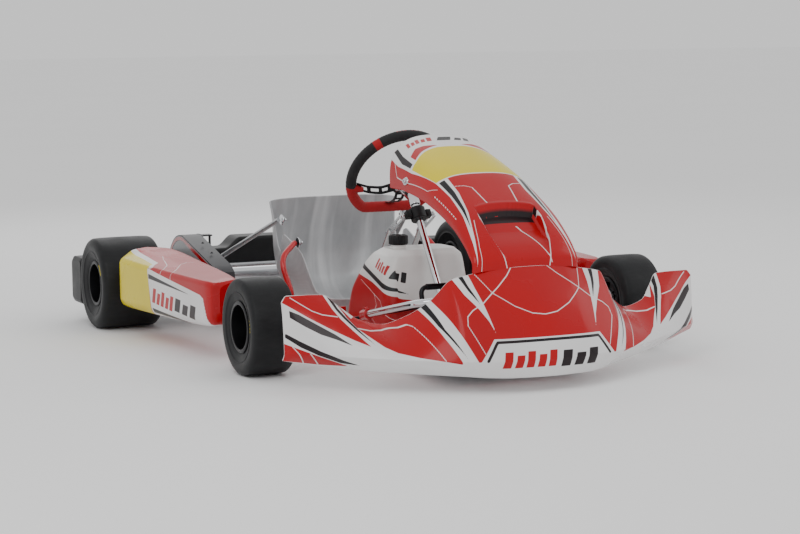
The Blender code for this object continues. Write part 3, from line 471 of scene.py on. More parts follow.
def piece(name, meshes, finish, body, *nodes, smooth=38):
    """Join meshes into one finished piece that rides on a body and stands for CAD nodes."""
    joined = bmesh.new()
    for mesh in meshes:
        bmesh.ops.recalc_face_normals(mesh, faces=mesh.faces)
        temporary = bpy.data.meshes.new("temporary")
        mesh.to_mesh(temporary)
        mesh.free()
        joined.from_mesh(temporary)
        bpy.data.meshes.remove(temporary)
    bmesh.ops.translate(joined, verts=joined.verts, vec=SHIFT)
    data = bpy.data.meshes.new(name)
    joined.to_mesh(data)
    joined.free()
    data.shade_smooth()
    data.set_sharp_from_angle(angle=math.radians(smooth))
    return settle(name, data, finish, body, *nodes)


def in_scene(name, data):
    thing = bpy.data.objects.new(name, data)
    bpy.context.scene.collection.objects.link(thing)
    return thing


def settle(name, data, finish, body, *nodes):
    """Give a mesh its material and body, and hide the CAD nodes it stands for."""
    thing = in_scene(name, data)
    data.materials.append(MATERIALS[finish])
    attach(thing, body)
    if nodes:
        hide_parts(*nodes)
    return thing


# ---------------------------------------------------------------- smooth tables and printed shapes
def flowing(xs, ys, at):
    """Smooth interpolation that never overshoots its table (monotone cubic)."""
    xs = np.asarray(xs, float)
    ys = np.asarray(ys, float)
    at = np.clip(np.asarray(at, float), xs[0], xs[-1])
    gap = np.diff(xs)
    rise = np.diff(ys) / gap
    slope = np.zeros(len(xs))
    slope[0] = rise[0]
    slope[-1] = rise[-1]
    same = rise[:-1] * rise[1:] > 0
    with np.errstate(divide="ignore", invalid="ignore"):
        slope[1:-1] = np.where(same, 2 / (1 / rise[:-1] + 1 / rise[1:]), 0)
    cell = np.clip(np.searchsorted(xs, at, side="right") - 1, 0, len(xs) - 2)
    t = (at - xs[cell]) / gap[cell]
    a = (1 + 2 * t) * (1 - t) ** 2 * ys[cell] + t * (1 - t) ** 2 * gap[cell] * slope[cell]
    return a + t * t * (3 - 2 * t) * ys[cell + 1] + t * t * (t - 1) * gap[cell] * slope[cell + 1]


def area_distance(u, v, outline):
    """Signed distance to a closed outline, negative inside."""
    corners = np.asarray(outline, float)
    best = np.full(len(u), 1e9)
    inside = np.zeros(len(u), bool)
    for (ax, ay), (bx, by) in zip(corners, np.roll(corners, -1, axis=0)):
        best = np.minimum(best, segment_distance(u, v, (ax, ay), (bx, by)))
        if ay != by:
            crosses = ((ay > v) != (by > v)) & (u < (bx - ax) * (v - ay) / (by - ay) + ax)
            inside ^= crosses
    return np.where(inside, -best, best)


def segment_distance(u, v, start, end):
    ax, ay = start
    bx, by = end
    length = (bx - ax) ** 2 + (by - ay) ** 2 + 1e-12
    t = np.clip(((u - ax) * (bx - ax) + (v - ay) * (by - ay)) / length, 0, 1)
    return np.hypot(u - ax - t * (bx - ax), v - ay - t * (by - ay))


def print_field(u, v, areas=(), lines=(), half_width=0.0011):
    """One layer of print: the union of some areas and some thin lines."""
    field = np.full(len(u), 1.0)
    for outline in areas:
        field = np.minimum(field, area_distance(u, v, outline))
    for line in lines:
        for start, end in zip(line, line[1:]):
            field = np.minimum(field, segment_distance(u, v, start, end) - half_width)
    return field


def points_of(data):
    """Every vertex of a mesh, one row each."""
    points = np.zeros(len(data.vertices) * 3, np.float32)
    data.vertices.foreach_get("co", points)
    return points.reshape(-1, 3).astype(float)


def store(data, name, values):
    attribute = data.attributes.new(name, "FLOAT", "POINT")
    attribute.data.foreach_set("value", np.asarray(values, np.float32))


def slanted(left, right, low, high, count, lean=0.25, gap=0.3, drop=0.0):
    """A row of leaning blocks that stands in for lettering; drop lowers it towards its right end."""
    blocks = []
    step = (right - left) / count
    for k in range(count):
        a = left + k * step
        b = a + step * (1 - gap)
        shift = (high - low) * lean
        fall_a = drop * k / count
        fall_b = drop * (k + 1 - gap) / count
        trim = (high - low) * (0.22 if k % 2 else 0.0)
        blocks.append([(a, low - fall_a), (b, low - fall_b), (b + shift, high - trim - fall_b),
                       (a + shift, high - trim - fall_a)])
    return blocks


def sheet_mesh(name, grid, wall, flip, coarse=4, edge_sides=10):
    """A printed outer skin, a plain inner skin and a rolled edge between them, as one mesh.

    Returns the mesh and the number of vertices in the outer skin, which come first.
    """
    rows, columns, _ = grid.shape
    down = np.gradient(grid, axis=0)
    across = np.gradient(grid, axis=1)
    normal = np.cross(down, across)
    normal /= np.linalg.norm(normal, axis=2, keepdims=True) + 1e-12
    if flip:
        normal = -normal
    inner = (grid - normal * wall)[::coarse, ::coarse]
    middle = grid - normal * wall / 2
    rolled = np.concatenate([middle[0, :-1:2], middle[:-1:2, -1], middle[-1, :0:-2], middle[:0:-2, 0]])
    edge = sweep([Vector(p) for p in rolled], wall / 2, edge_sides, closed=True)
    edge_points = [list(v.co) for v in edge.verts]
    edge_faces = [[v.index for v in f.verts] for f in edge_with_index(edge).faces]
    verts = list(grid.reshape(-1, 3)) + list(inner.reshape(-1, 3)) + edge_points
    faces = quads(rows, columns, 0, flip)
    faces += quads(inner.shape[0], inner.shape[1], rows * columns, not flip)
    offset = rows * columns + inner.shape[0] * inner.shape[1]
    faces += [[i + offset for i in f] for f in edge_faces]
    edge.free()
    data = bpy.data.meshes.new(name)
    shifted = [(p[0] + SHIFT.x, p[1] + SHIFT.y, p[2] + SHIFT.z) for p in verts]
    data.from_pydata(shifted, [], faces)
    data.shade_smooth()
    return data, rows * columns


def edge_with_index(mesh):
    """The rolled edge with its faces turned outwards and its vertices numbered."""
    bmesh.ops.recalc_face_normals(mesh, faces=mesh.faces)
    mesh.verts.index_update()
    return mesh


def quads(rows, columns, offset, flip):
    base = np.arange(rows * columns).reshape(rows, columns) + offset
    corners = [base[:-1, :-1], base[:-1, 1:], base[1:, 1:], base[1:, :-1]]
    if not flip:
        corners = corners[::-1]
    return np.stack([c.ravel() for c in corners], axis=1).tolist()


def store_outer(data, count, name, values):
    """Store a layer on the outer skin only; everything else reads as bare."""
    whole = np.ones(len(data.vertices), np.float32)
    whole[:count] = values
    store(data, name, whole)


# ---------------------------------------------------------------- nose
NOSE_TOP = [
    (0.000, -0.470, 0.302), (0.100, -0.463, 0.298), (0.155, -0.451, 0.288), (0.214, -0.452, 0.276),
    (0.250, -0.420, 0.227), (0.300, -0.383, 0.186), (0.354, -0.347, 0.163), (0.410, -0.335, 0.176),
    (0.452, -0.305, 0.208), (0.489, -0.281, 0.238), (0.540, -0.280, 0.240), (0.585, -0.279, 0.240),
    (0.597, -0.281, 0.226),
]
NOSE_FRONT = [
    (0.000, -0.602, 0.085), (0.100, -0.597, 0.085), (0.155, -0.586, 0.085), (0.214, -0.564, 0.085),
    (0.300, -0.517, 0.088), (0.410, -0.447, 0.092), (0.489, -0.392, 0.096), (0.540, -0.355, 0.100),
    (0.585, -0.312, 0.100), (0.597, -0.292, 0.100),
]
NOSE_BOTTOM = [
    (0.000, -0.592, 0.040), (0.100, -0.580, 0.040), (0.155, -0.558, 0.041), (0.214, -0.517, 0.043),
    (0.300, -0.462, 0.047), (0.410, -0.395, 0.054), (0.489, -0.345, 0.062), (0.540, -0.312, 0.069),
    (0.585, -0.287, 0.076), (0.597, -0.280, 0.078),
]
NOSE_WALL = 0.004


def both_sides(table, xs):
    """Y and Z of a symmetric table at every x."""
    half = np.array(table)
    full = np.concatenate([half[:0:-1] * (-1, 1, 1), half])
    return flowing(full[:, 0], full[:, 1], xs), flowing(full[:, 0], full[:, 2], xs)


def nose_grid():
    xs = np.linspace(-NOSE_TOP[-1][0], NOSE_TOP[-1][0], 560)
    top, front, bottom = (np.stack([xs, *both_sides(t, xs)], 1)
                          for t in (NOSE_TOP, NOSE_FRONT, NOSE_BOTTOM))
    swell = top + (front - top) * (0, 0.72, 0.42)
    rows = []
    for t in np.linspace(0, 1, 130):
        rows.append((1 - t) ** 2 * top + 2 * t * (1 - t) * swell + t * t * front)
    bulge = (front + bottom) / 2 + (0, -0.006, 0)
    for t in np.linspace(0, 1, 24)[1:]:
        rows.append((1 - t) ** 2 * front + 2 * t * (1 - t) * bulge + t * t * bottom)
    return np.array(rows)


# Nose print, in front view: distance from the middle, height
NOSE_RED = [
    [(0.600, 0.226), (0.585, 0.260), (0.486, 0.260), (0.487, 0.236), (0.478, 0.206), (0.465, 0.182),
     (0.446, 0.157), (0.416, 0.119), (0.449, 0.134), (0.491, 0.157), (0.539, 0.186), (0.573, 0.209)],
    [(0.600, 0.124), (0.569, 0.111), (0.523, 0.092), (0.460, 0.068), (0.521, 0.070), (0.600, 0.078)],
    [(0.457, 0.215), (0.436, 0.181), (0.405, 0.190), (0.372, 0.190), (0.330, 0.200), (0.284, 0.215),
     (0.256, 0.140), (0.227, 0.078), (0.266, 0.086), (0.320, 0.095), (0.362, 0.105), (0.386, 0.118),
     (0.430, 0.158), (0.447, 0.184)],
    [(-0.100, 0.330), (0.246, 0.330), (0.252, 0.222), (0.228, 0.160), (0.194, 0.084), (0.188, 0.084),
     (0.149, 0.138), (-0.100, 0.138)],
]
NOSE_WHITE = [
    [(0.214, 0.290), (0.164, 0.290), (0.160, 0.256), (0.153, 0.222), (0.141, 0.150), (0.151, 0.180),
     (0.168, 0.210), (0.192, 0.242)],
]
NOSE_BLACK = [
    [(0.583, 0.205), (0.561, 0.195), (0.523, 0.170), (0.489, 0.148), (0.455, 0.121), (0.489, 0.136),
     (0.521, 0.148), (0.553, 0.167), (0.583, 0.188)],
    [(0.595, 0.149), (0.569, 0.132), (0.527, 0.108), (0.477, 0.085), (0.436, 0.070), (0.480, 0.077),
     (0.533, 0.098), (0.567, 0.116), (0.595, 0.138)],
    [(0.478, 0.232), (0.468, 0.203), (0.456, 0.183), (0.434, 0.154), (0.402, 0.119), (0.430, 0.157),
     (0.448, 0.184), (0.461, 0.207), (0.466, 0.232)],
    [(0.274, 0.213), (0.262, 0.216), (0.250, 0.160), (0.214, 0.086), (0.238, 0.126), (0.260, 0.167)],
    [(0.194, 0.290), (0.180, 0.290), (0.175, 0.262), (0.158, 0.215), (0.179, 0.251)],
]
NOSE_THIN = [
    [(0.576, 0.236), (0.529, 0.203), (0.507, 0.194), (0.471, 0.188)],
    [(0.583, 0.117), (0.553, 0.073)],
    [(0.549, 0.101), (0.523, 0.071)],
    [(0.430, 0.160), (0.400, 0.153), (0.370, 0.152), (0.330, 0.158), (0.312, 0.166), (0.304, 0.163),
     (0.266, 0.088)],
    [(0.047, 0.305), (0.071, 0.283), (0.123, 0.245), (0.152, 0.222), (0.184, 0.206), (0.200, 0.192),
     (0.204, 0.171), (0.176, 0.104)],
    [(0.148, 0.290), (0.123, 0.245), (0.077, 0.213), (0.035, 0.195), (-0.020, 0.188)],
]
NOSE_FRAME_LINE = [(0.172, 0.086), (0.147, 0.124), (0.142, 0.130), (-0.01, 0.131)]


def make_nose():
    grid = nose_grid()
    data, count = sheet_mesh("nose_cowl", grid, NOSE_WALL, flip=False)
    x, _, v = grid.reshape(-1, 3).T
    u = np.abs(x)
    red = print_field(u, v, NOSE_RED)
    white = np.minimum(print_field(u, v, NOSE_WHITE), print_field(u, v, lines=NOSE_THIN))
    black = np.minimum(print_field(u, v, NOSE_BLACK),
                       print_field(u, v, lines=[NOSE_FRAME_LINE], half_width=0.0034))
    blocks_red = print_field(x, v, slanted(-0.136, 0.014, 0.066, 0.106, 5, 0.20))
    blocks_black = print_field(x, v, slanted(0.020, 0.136, 0.063, 0.103, 3, 0.25))
    store_outer(data, count, "red", np.minimum(red, blocks_red))
    store_outer(data, count, "white", white)
    store_outer(data, count, "black", np.minimum(black, blocks_black))
    settle("nose_cowl", data, "nose_print", "chassis", "nose_fairing")


MATERIALS["nose_print"] = printed("nose_print", WHITE, [("red", RED), ("white", WHITE), ("black", INK)])

# ---------------------------------------------------------------- front panel
PANEL_HALF = 0.150
PANEL_WALL = 0.003
PANEL_SPREAD = 0.19
CROWN = [(-0.468, 0.299), (-0.466, 0.319), (-0.441, 0.360), (-0.395, 0.404), (-0.345, 0.441),
         (-0.260, 0.489), (-0.185, 0.527),
         (-0.100, 0.559), (-0.029, 0.583), (0.064, 0.613)]
EDGE = [(-0.447, 0.284), (-0.449, 0.306), (-0.430, 0.332), (-0.384, 0.368), (-0.338, 0.394),
        (-0.249, 0.428), (-0.163, 0.452),
        (-0.085, 0.466), (-0.017, 0.473), (0.047, 0.474)]
CROWN_RUN = np.concatenate([[0], np.cumsum(np.linalg.norm(np.diff(np.array(CROWN), axis=0), axis=1))])
CROWN_RUN = CROWN_RUN - CROWN_RUN[1]
LIP_RUN = 0.183
LIP_WAVE = 0.010
CHANNEL_TOP = 0.086
CHANNEL_FOOT = 0.058
CHANNEL_DEEP = 0.034


def panel_grid():
    """Points of the arched panel with its sunken channel, and each point's place on it."""
    runs = np.concatenate([np.linspace(CROWN_RUN[0], LIP_RUN - 0.02, 90),
                           np.linspace(LIP_RUN - 0.02, LIP_RUN + 0.02, 60)[1:],
                           np.linspace(LIP_RUN + 0.02, CROWN_RUN[-1], 190)[1:]])
    turns = np.linspace(-1, 1, 230)
    run, turn = np.meshgrid(runs, turns, indexing="ij")
    crown_y, crown_z = (flowing(CROWN_RUN, [p[k] for p in CROWN], run) for k in (0, 1))
    edge_y, edge_z = (flowing(CROWN_RUN, [p[k] for p in EDGE], run) for k in (0, 1))
    angle = np.abs(turn) * math.pi / 2
    drop = 1 - np.cos(angle) ** 0.7
    x = np.sign(turn) * PANEL_HALF * np.sin(angle) ** 0.7
    y = crown_y + drop * (edge_y - crown_y)
    z = crown_z + drop * (edge_z - crown_z)
    lip = LIP_RUN + LIP_WAVE * (1 - (x / CHANNEL_TOP) ** 2)
    half = CHANNEL_FOOT + (CHANNEL_TOP - CHANNEL_FOOT) * np.clip(run / 0.09, 0, 1) ** 0.6
    side = np.clip((half - np.abs(x)) / 0.006, 0, 1)
    rise = np.clip(run / 0.13, 0, 1)
    depth = CHANNEL_DEEP * rise * side * side * (3 - 2 * side) * (run < lip)
    roll = 0.0025 * np.exp(-((run - lip - 0.004) / 0.006) ** 2) * (np.abs(x) < CHANNEL_TOP) * side
    z = z - depth + roll * 0.5
    return np.stack([x, y, z], 2), turn * PANEL_SPREAD, run, depth


# Panel print: place across (PANEL_SPREAD is the edge), distance up the crown from the front
PANEL_WHITE = [
    [(-0.02, 0.66), (0.134, 0.66), (0.146, 0.560), (0.142, 0.466), (0.110, 0.330), (0.080, 0.336),
     (0.050, 0.340),
     (-0.02, 0.343)],
    [(0.112, 0.338), (0.103, 0.258), (0.108, 0.165), (0.124, 0.081), (0.138, -0.01), (0.108, 0.080),
     (0.082, 0.172),
     (0.068, 0.262), (0.068, 0.337)],
]
PANEL_YELLOW = [
    [(-0.02, 0.528), (0.020, 0.526), (0.055, 0.513), (0.100, 0.486), (0.132, 0.474), (0.125, 0.406),
     (0.110, 0.339),
     (0.074, 0.341), (0.042, 0.345), (-0.02, 0.348)],
]
PANEL_BLACK = [
    [(0.117, 0.620), (0.103, 0.612), (0.112, 0.560), (0.114, 0.489), (0.131, 0.485), (0.134, 0.540)],
    [(0.102, 0.332), (0.080, 0.334), (0.078, 0.270), (0.086, 0.190), (0.104, 0.110), (0.097, 0.190),
     (0.096, 0.260)],
]
PANEL_RED = [
    [(0.099, 0.526), (0.068, 0.550), (0.044, 0.549), (0.014, 0.539), (0.062, 0.519), (0.097, 0.495)],
]
PANEL_THIN = [
    [(0.066, 0.294), (0.042, 0.288), (0.028, 0.276), (0.021, 0.200)],
    [(0.141, 0.590), (0.173, 0.552), (0.175, 0.512), (0.174, 0.466), (0.158, 0.345), (0.124, 0.313)],
    [(0.079, 0.140), (0.104, 0.050), (0.116, -0.03)],
]
LIP_LINE = [(0.058, 0.140), (0.056, 0.162), (0.048, 0.178), (0.034, 0.184), (0.016, 0.187), (-0.02, 0.188)]
CHANNEL_LINE = [(0.058, 0.140), (0.055, 0.100), (0.049, 0.060), (0.040, 0.020), (0.032, -0.03)]
CREASE_LINE = [(0.006, 0.150), (0.040, -0.01)]
PANEL_MARKS_LOW = 0.172


def make_panel():
    grid, across, run, depth = panel_grid()
    data, count = sheet_mesh("column_cowl", grid, PANEL_WALL, flip=True)
    x = across.ravel()
    u = np.abs(x)
    v = run.ravel()
    depth = depth.ravel()
    white = print_field(u, v, PANEL_WHITE)
    thin = print_field(u, v, lines=[*PANEL_THIN, CHANNEL_LINE])
    thin = np.minimum(thin, print_field(x, v, lines=[CREASE_LINE]))
    thin = np.minimum(thin, print_field(u, v, lines=[LIP_LINE], half_width=0.0018))
    # Painted shade: the channel floor in the last 18 mm below the overhanging lip is inked black, standing
    # in for the shadow there, and the thin white lines are kept off it.
    lip_shade = np.where((depth > CHANNEL_DEEP * 0.06) & (v > LIP_RUN - 0.018), -0.001, 0.001)
    red_blocks = print_field(x, v, slanted(-0.082, -0.012, 0.572, 0.598, 5, 0.15))
    black_blocks = print_field(x, v, slanted(-0.008, 0.052, 0.572, 0.598, 3, 0.25))
    side_marks = print_field(x, v, side_strips())
    store_outer(data, count, "white", np.where(depth > 0.004, 1.0, white))
    store_outer(data, count, "yellow", print_field(u, v, PANEL_YELLOW))
    store_outer(data, count, "red", np.minimum(print_field(u, v, PANEL_RED), red_blocks))
    store_outer(data, count, "black", np.minimum.reduce([print_field(u, v, PANEL_BLACK), black_blocks,
                                                         lip_shade]))
    store_outer(data, count, "thin", np.where(lip_shade < 0, 1.0, np.minimum(thin, side_marks)))
    settle("column_cowl", data, "panel_print", "chassis", "front_panel")


def side_strips():
    """Small leaning dashes down both flanks, in place of printed words."""
    strips = []
    for side in (-1, 1):
        for k in range(11):
            low = PANEL_MARKS_LOW + k * 0.0125
            left = side * (0.146 + k * 0.0010)
            strips.append([(left, low), (left + 0.005, low + 0.001), (left + 0.005, low + 0.008),
                           (left, low + 0.007)])
    return strips


MATERIALS["panel_print"] = printed("panel_print", RED, [("white", WHITE), ("yellow", YELLOW), ("red", RED),
                                                        ("black", INK), ("thin", WHITE)])

# ---------------------------------------------------------------- side pods
POD_STATIONS = [
    # y, outer x, inner x, bottom z, outer top z, inner top z
    (0.212, 0.585, 0.545, 0.125, 0.212, 0.222), (0.222, 0.607, 0.525, 0.108, 0.221, 0.229),
    (0.260, 0.617, 0.515, 0.099, 0.225, 0.232), (0.400, 0.631, 0.500, 0.094, 0.226, 0.237),
    (0.550, 0.644, 0.492, 0.091, 0.227, 0.243), (0.700, 0.656, 0.490, 0.089, 0.229, 0.252),
    (0.810, 0.664, 0.500, 0.088, 0.231, 0.260), (0.862, 0.667, 0.560, 0.090, 0.231, 0.262),
    (0.872, 0.660, 0.600, 0.100, 0.226, 0.250),
]
POD_FILLS = (8, 60, 3, 30, 16, 4, 4, 4, 8)
POD_CORNERS = (0.010, 0.012, 0.010, 0.008, 0.010, 0.014, 0.012, 0.010)


def rounded_ring(corners, radii, steps=7, fills=(7,)):
    """A closed outline with rounded corners, with extra points along its flats."""
    ring = []
    count = len(corners)
    spans = []
    for i, corner in enumerate(corners):
        before = corners[i - 1]
        after = corners[(i + 1) % count]
        back = before - corner
        ahead = after - corner
        reach = min(radii[i], back.length * 0.45, ahead.length * 0.45)
        spans.append((corner + back.normalized() * reach, corner, corner + ahead.normalized() * reach))
    for i, (start, corner, end) in enumerate(spans):
        for k in range(steps + 1):
            t = k / steps
            ring.append((1 - t) ** 2 * start + 2 * t * (1 - t) * corner + t * t * end)
        following = spans[(i + 1) % count][0]
        fill = fills[i % len(fills)]
        for k in range(1, fill):
            ring.append(end.lerp(following, k / fill))
    return ring


def pod_section(values):
    outer, inner, low, top, inner_top = values
    width = outer - inner
    ring = [(outer - 0.010, low), (outer, low + 0.018), (outer, top - 0.010), (outer - 0.006, top),
            (outer - 0.4 * width, inner_top - 0.006), (inner + 0.15 * width, inner_top),
            (inner, inner_top - 0.014),
            (inner, low + 0.02), (inner + 0.02, low)]
    return rounded_ring([Vector(p) for p in ring], (*POD_CORNERS, 0.012), 7, POD_FILLS)


def make_side_pods():
    table = np.array(POD_STATIONS)
    levels = np.concatenate([table[0, 0] + 0.048 * np.linspace(0, 1, 26) ** 2,
                             np.linspace(0.262, 0.80, 240),
                             table[-1, 0] - 0.070 * np.linspace(1, 0, 30)[1:] ** 2])
    columns = [flowing(table[:, 0], table[:, k], levels) for k in range(1, 6)]
    for label, side in SIDES:
        rings = []
        for y, values in zip(levels, zip(*columns)):
            rings.append([Vector((side * p.x, y, p.y)) for p in pod_section(values)])
        ends = [cap_rings(rings[0]), cap_rings(rings[-1])]
        mesh = loft(ends[0][::-1] + rings + ends[1])
        name = f"pod_cover_{label}"
        thing = piece(name, [mesh], "pod_print", "chassis", f"side_pod_{label}", smooth=60)
        print_pod(thing.data)


def cap_rings(ring):
    """Smaller copies of an end ring, so that the end closes with a soft edge."""
    middle = sum(ring, Vector()) / len(ring)
    return [[middle + (p - middle) * share for p in ring] for share in (0.97, 0.9, 0.6, 0.2)]


POD_YELLOW = [[(0.90, 0.270), (0.828, 0.268), (0.747, 0.262), (0.654, 0.250), (0.650, 0.243),
               (0.632, 0.231), (0.645, 0.222), (0.612, 0.060),
               (0.90, 0.060)]]
POD_WHITE = [
    [(0.90, 0.280), (0.828, 0.278), (0.747, 0.272), (0.648, 0.260), (0.639, 0.245), (0.618, 0.231),
     (0.632, 0.221), (0.645, 0.230), (0.654, 0.245), (0.747, 0.257), (0.828, 0.263), (0.90, 0.264)],
    [(0.646, 0.223), (0.342, 0.191), (0.280, 0.184), (0.262, 0.176), (0.231, 0.092), (0.612, 0.083),
     (0.645, 0.222)],
]
POD_BLACK = [
    [(0.637, 0.208), (0.636, 0.194), (0.335, 0.176)],
    [(0.611, 0.112), (0.608, 0.099), (0.288, 0.092)],
]
POD_THIN = [
    [(0.711, 0.300), (0.665, 0.283), (0.640, 0.277), (0.590, 0.262), (0.549, 0.233), (0.551, 0.204)],
    [(0.560, 0.330), (0.576, 0.316), (0.560, 0.290), (0.500, 0.250), (0.477, 0.232), (0.478, 0.205)],
    [(0.262, 0.176), (0.228, 0.088)],
    [(0.560, 0.077), (0.250, 0.082)],
]


def print_pod(data):
    x, y, z = points_of(data).T
    y = y - SHIFT.y
    table = np.array(POD_STATIONS)
    outer = flowing(table[:, 0], table[:, 1], y)
    top = flowing(table[:, 0], table[:, 4], y)
    v = np.where(z < top - 0.004, z, top - 0.004 + np.abs(outer - np.abs(x)))
    inner_wall = (np.abs(x) < outer - 0.05) & (z < top)
    fields = {
        "yellow": print_field(y, v, POD_YELLOW),
        "white": print_field(y, v, POD_WHITE),
        "black": np.minimum(print_field(y, v, POD_BLACK),
                            print_field(y, v, slanted_pod(0.452, 0.300, 0.121, 0.158, 3))),
        "red": print_field(y, v, slanted_pod(0.612, 0.458, 0.128, 0.170, 5)),
        "thin": print_field(y, v, lines=POD_THIN),
    }
    for name, values in fields.items():
        store(data, name, np.where(inner_wall, 1.0, values))


def slanted_pod(rear, front, low, high, count):
    """Blocks that step forward along the pod and fall slightly towards the front wheel."""
    return slanted(rear, front, low, high, count, -0.25, 0.3, 0.012)


MATERIALS["pod_print"] = printed("pod_print", RED, [("yellow", YELLOW), ("white", WHITE), ("black", INK),
                                                    ("red", RED), ("thin", WHITE)])

# ---------------------------------------------------------------- wheels
def tyre(label, where, side, node, body, rim_seat, marks):
    """A slick tyre: rounded shoulders, moulded rings on the sidewalls, a bead seat and a hollow inside."""
    low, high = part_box(node)
    centre = (low + high) / 2 - SHIFT
    half = (high.x - low.x) / 2
    radius = centre.z
    bead_r = rim_seat + 0.0008
    shoulder = [(0.84, bead_r), (0.845, bead_r + 0.006), (0.90, bead_r + 0.012)]
    for share, offset in ((0.15, 0.0), (0.30, 0.0), (0.32, 0.0012), (0.34, 0.0), (0.45, 0.0), (0.60, 0.0)):
        swell = 0.90 + 0.10 * math.sin(math.pi * min(1, share * 1.15) / 1.6)
        shoulder.append((min(1.0, swell + offset / half),
                         bead_r + 0.012 + share * (radius - bead_r - 0.012)))
    start = shoulder[-1][1]
    for k in range(1, 9):
        t = math.pi / 2 * k / 9
        shoulder.append((0.80 + 0.198 * math.cos(t), start + (radius - 0.0012 - start) * math.sin(t)))
    shoulder.append((0.62, radius - 0.0004))
    shoulder.append((0.30, radius))
    right = [(half * a, r) for a, r in [(0.70, bead_r)] + shoulder]
    well = [(-half * 0.72, radius - 0.010), (half * 0.72, radius - 0.010)]
    outline = right + [(-a, r) for a, r in reversed(right)] + well
    name = f"{where}_slick_{label}"
    thing = piece(name, [turned(outline, centre, sides=120)], "tyre_rubber", body, node, smooth=50)
    print_tyre(thing.data, centre + SHIFT, side, bead_r, radius, marks)


def print_tyre(data, centre, side, bead_r, radius, marks):
    """Short yellow dashes round the outer sidewall in place of the maker's words."""
    x, y, z = (points_of(data) - np.array(centre)).T
    around_angle = np.degrees(np.arctan2(z, y))
    distance = np.hypot(y, z)
    field = np.full(len(x), 1.0)
    band = bead_r + 0.40 * (radius - bead_r)
    for middle in marks:
        turn = (around_angle - middle + 180) % 360 - 180
        reach = np.radians(np.abs(turn)) * distance - 0.019
        gap = 0.0035 - np.abs((np.radians(turn) * distance) % 0.0095 - 0.00475)
        field = np.minimum(field, np.maximum.reduce([reach, np.abs(distance - band) - 0.0035, -gap]))
    store(data, "mark", np.where(x * side > 0, field, 1.0))


def rim(label, where, side, node, body, web_x, hole):
    """A spun rim: flanged barrel, bead ridges, a web with windows, three nuts and a valve stem."""
    low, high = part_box(node)
    centre = (low + high) / 2 - SHIFT
    half = (high.x - low.x) / 2 - 0.004
    seat = RIM_SEAT
    lip = 0.004
    web = side * (web_x - abs(centre.x))
    outline = [(-half - lip, seat - 0.004), (-half - lip, seat + 0.003),
               (-half - lip + 0.0015, seat + 0.005),
               (-half, seat + 0.005), (-half, seat), (-half + 0.012, seat), (-half + 0.014, seat - 0.002),
               (half - 0.014, seat - 0.002), (half - 0.012, seat), (half, seat), (half, seat + 0.005),
               (half + lip - 0.0015, seat + 0.005), (half + lip, seat + 0.003), (half + lip, seat - 0.004),
               (half + lip - 0.001, seat - 0.005), (half - 0.010, seat - 0.006),
               (-half + 0.010, seat - 0.006),
               (-half - lip + 0.001, seat - 0.005)]
    meshes = [turned(outline, centre, sides=96), web_disc(centre, web, hole, seat - 0.0055)]
    for spot in round_spots(centre, web + side * 0.0022, STUD_CIRCLE, 3, 0.25):
        meshes.append(hexagon(spot, (side, 0, 0), 0.0055, 0.005))
    valve = centre + Vector((side * half * 0.6, 0, -seat + 0.006))
    meshes.append(rod(valve, valve + Vector((side * 0.012, 0, 0.006)), 0.0026, 12))
    piece(f"{where}_wheel_{label}", meshes, "black_anodised", body, node)


def web_disc(centre, web, hole, outer):
    """A thick disc cut by a ring of windows."""
    rings = 10
    steps = 12 * WINDOWS
    mesh = bmesh.new()
    layers = []
    for level in (-0.0024, 0.0024):
        grid = []
        for r in range(rings + 1):
            radius = hole + (outer - hole) * r / rings
            row = []
            for k in range(steps):
                turn = 2 * math.pi * k / steps
                row.append(mesh.verts.new(centre + Vector((web + level, radius * math.cos(turn),
                                                           radius * math.sin(turn)))))
            grid.append(row)
        layers.append(grid)
    solid = {(r, k) for r in range(rings) for k in range(steps)
             if not (3 < r < rings - 1 and 3 <= k % 12 < 9)}
    return pierced(mesh, layers, solid, steps)


RIM_SEAT = 0.0635
STUD_CIRCLE = 0.029
FRONT_WEB_X = 0.503
REAR_WEB_X = 0.560
WINDOWS = 6
FRONT_MARKS = (172,)
REAR_MARKS = (150,)


def make_wheels():
    for label, side in SIDES:
        body = f"front_wheel_{label}"
        tyre(label, "front", side, f"front_tyre_{label}", body, RIM_SEAT, FRONT_MARKS)
        rim(label, "front", side, f"front_rim_{label}", body, FRONT_WEB_X, 0.0195)
        tyre(label, "rear", side, f"rear_tyre_{label}", "rear_axle_assembly", RIM_SEAT, REAR_MARKS)
        rim(label, "rear", side, f"rear_rim_{label}", "rear_axle_assembly", REAR_WEB_X, 0.0318)


# ---------------------------------------------------------------- seat
SEAT_X = 0.022
SEAT_WALL = 0.0045
SEAT_SPINE = [
    # y, z of the middle line; half width; height of the side walls; lean of the walls from upright
    (0.545, 0.108, 0.150, 0.010, -10), (0.575, 0.072, 0.172, 0.060, -6), (0.640, 0.050, 0.190, 0.190, -4),
    (0.730, 0.046, 0.198, 0.225, 4), (0.830, 0.054, 0.200, 0.240, 16), (0.915, 0.082, 0.200, 0.240, 38),
    (0.962, 0.135, 0.198, 0.205, 62), (0.972, 0.200, 0.196, 0.160, 76), (0.955, 0.270, 0.196, 0.115, 84),
    (0.925, 0.335, 0.200, 0.075, 92), (0.900, 0.384, 0.206, 0.040, 100),
]


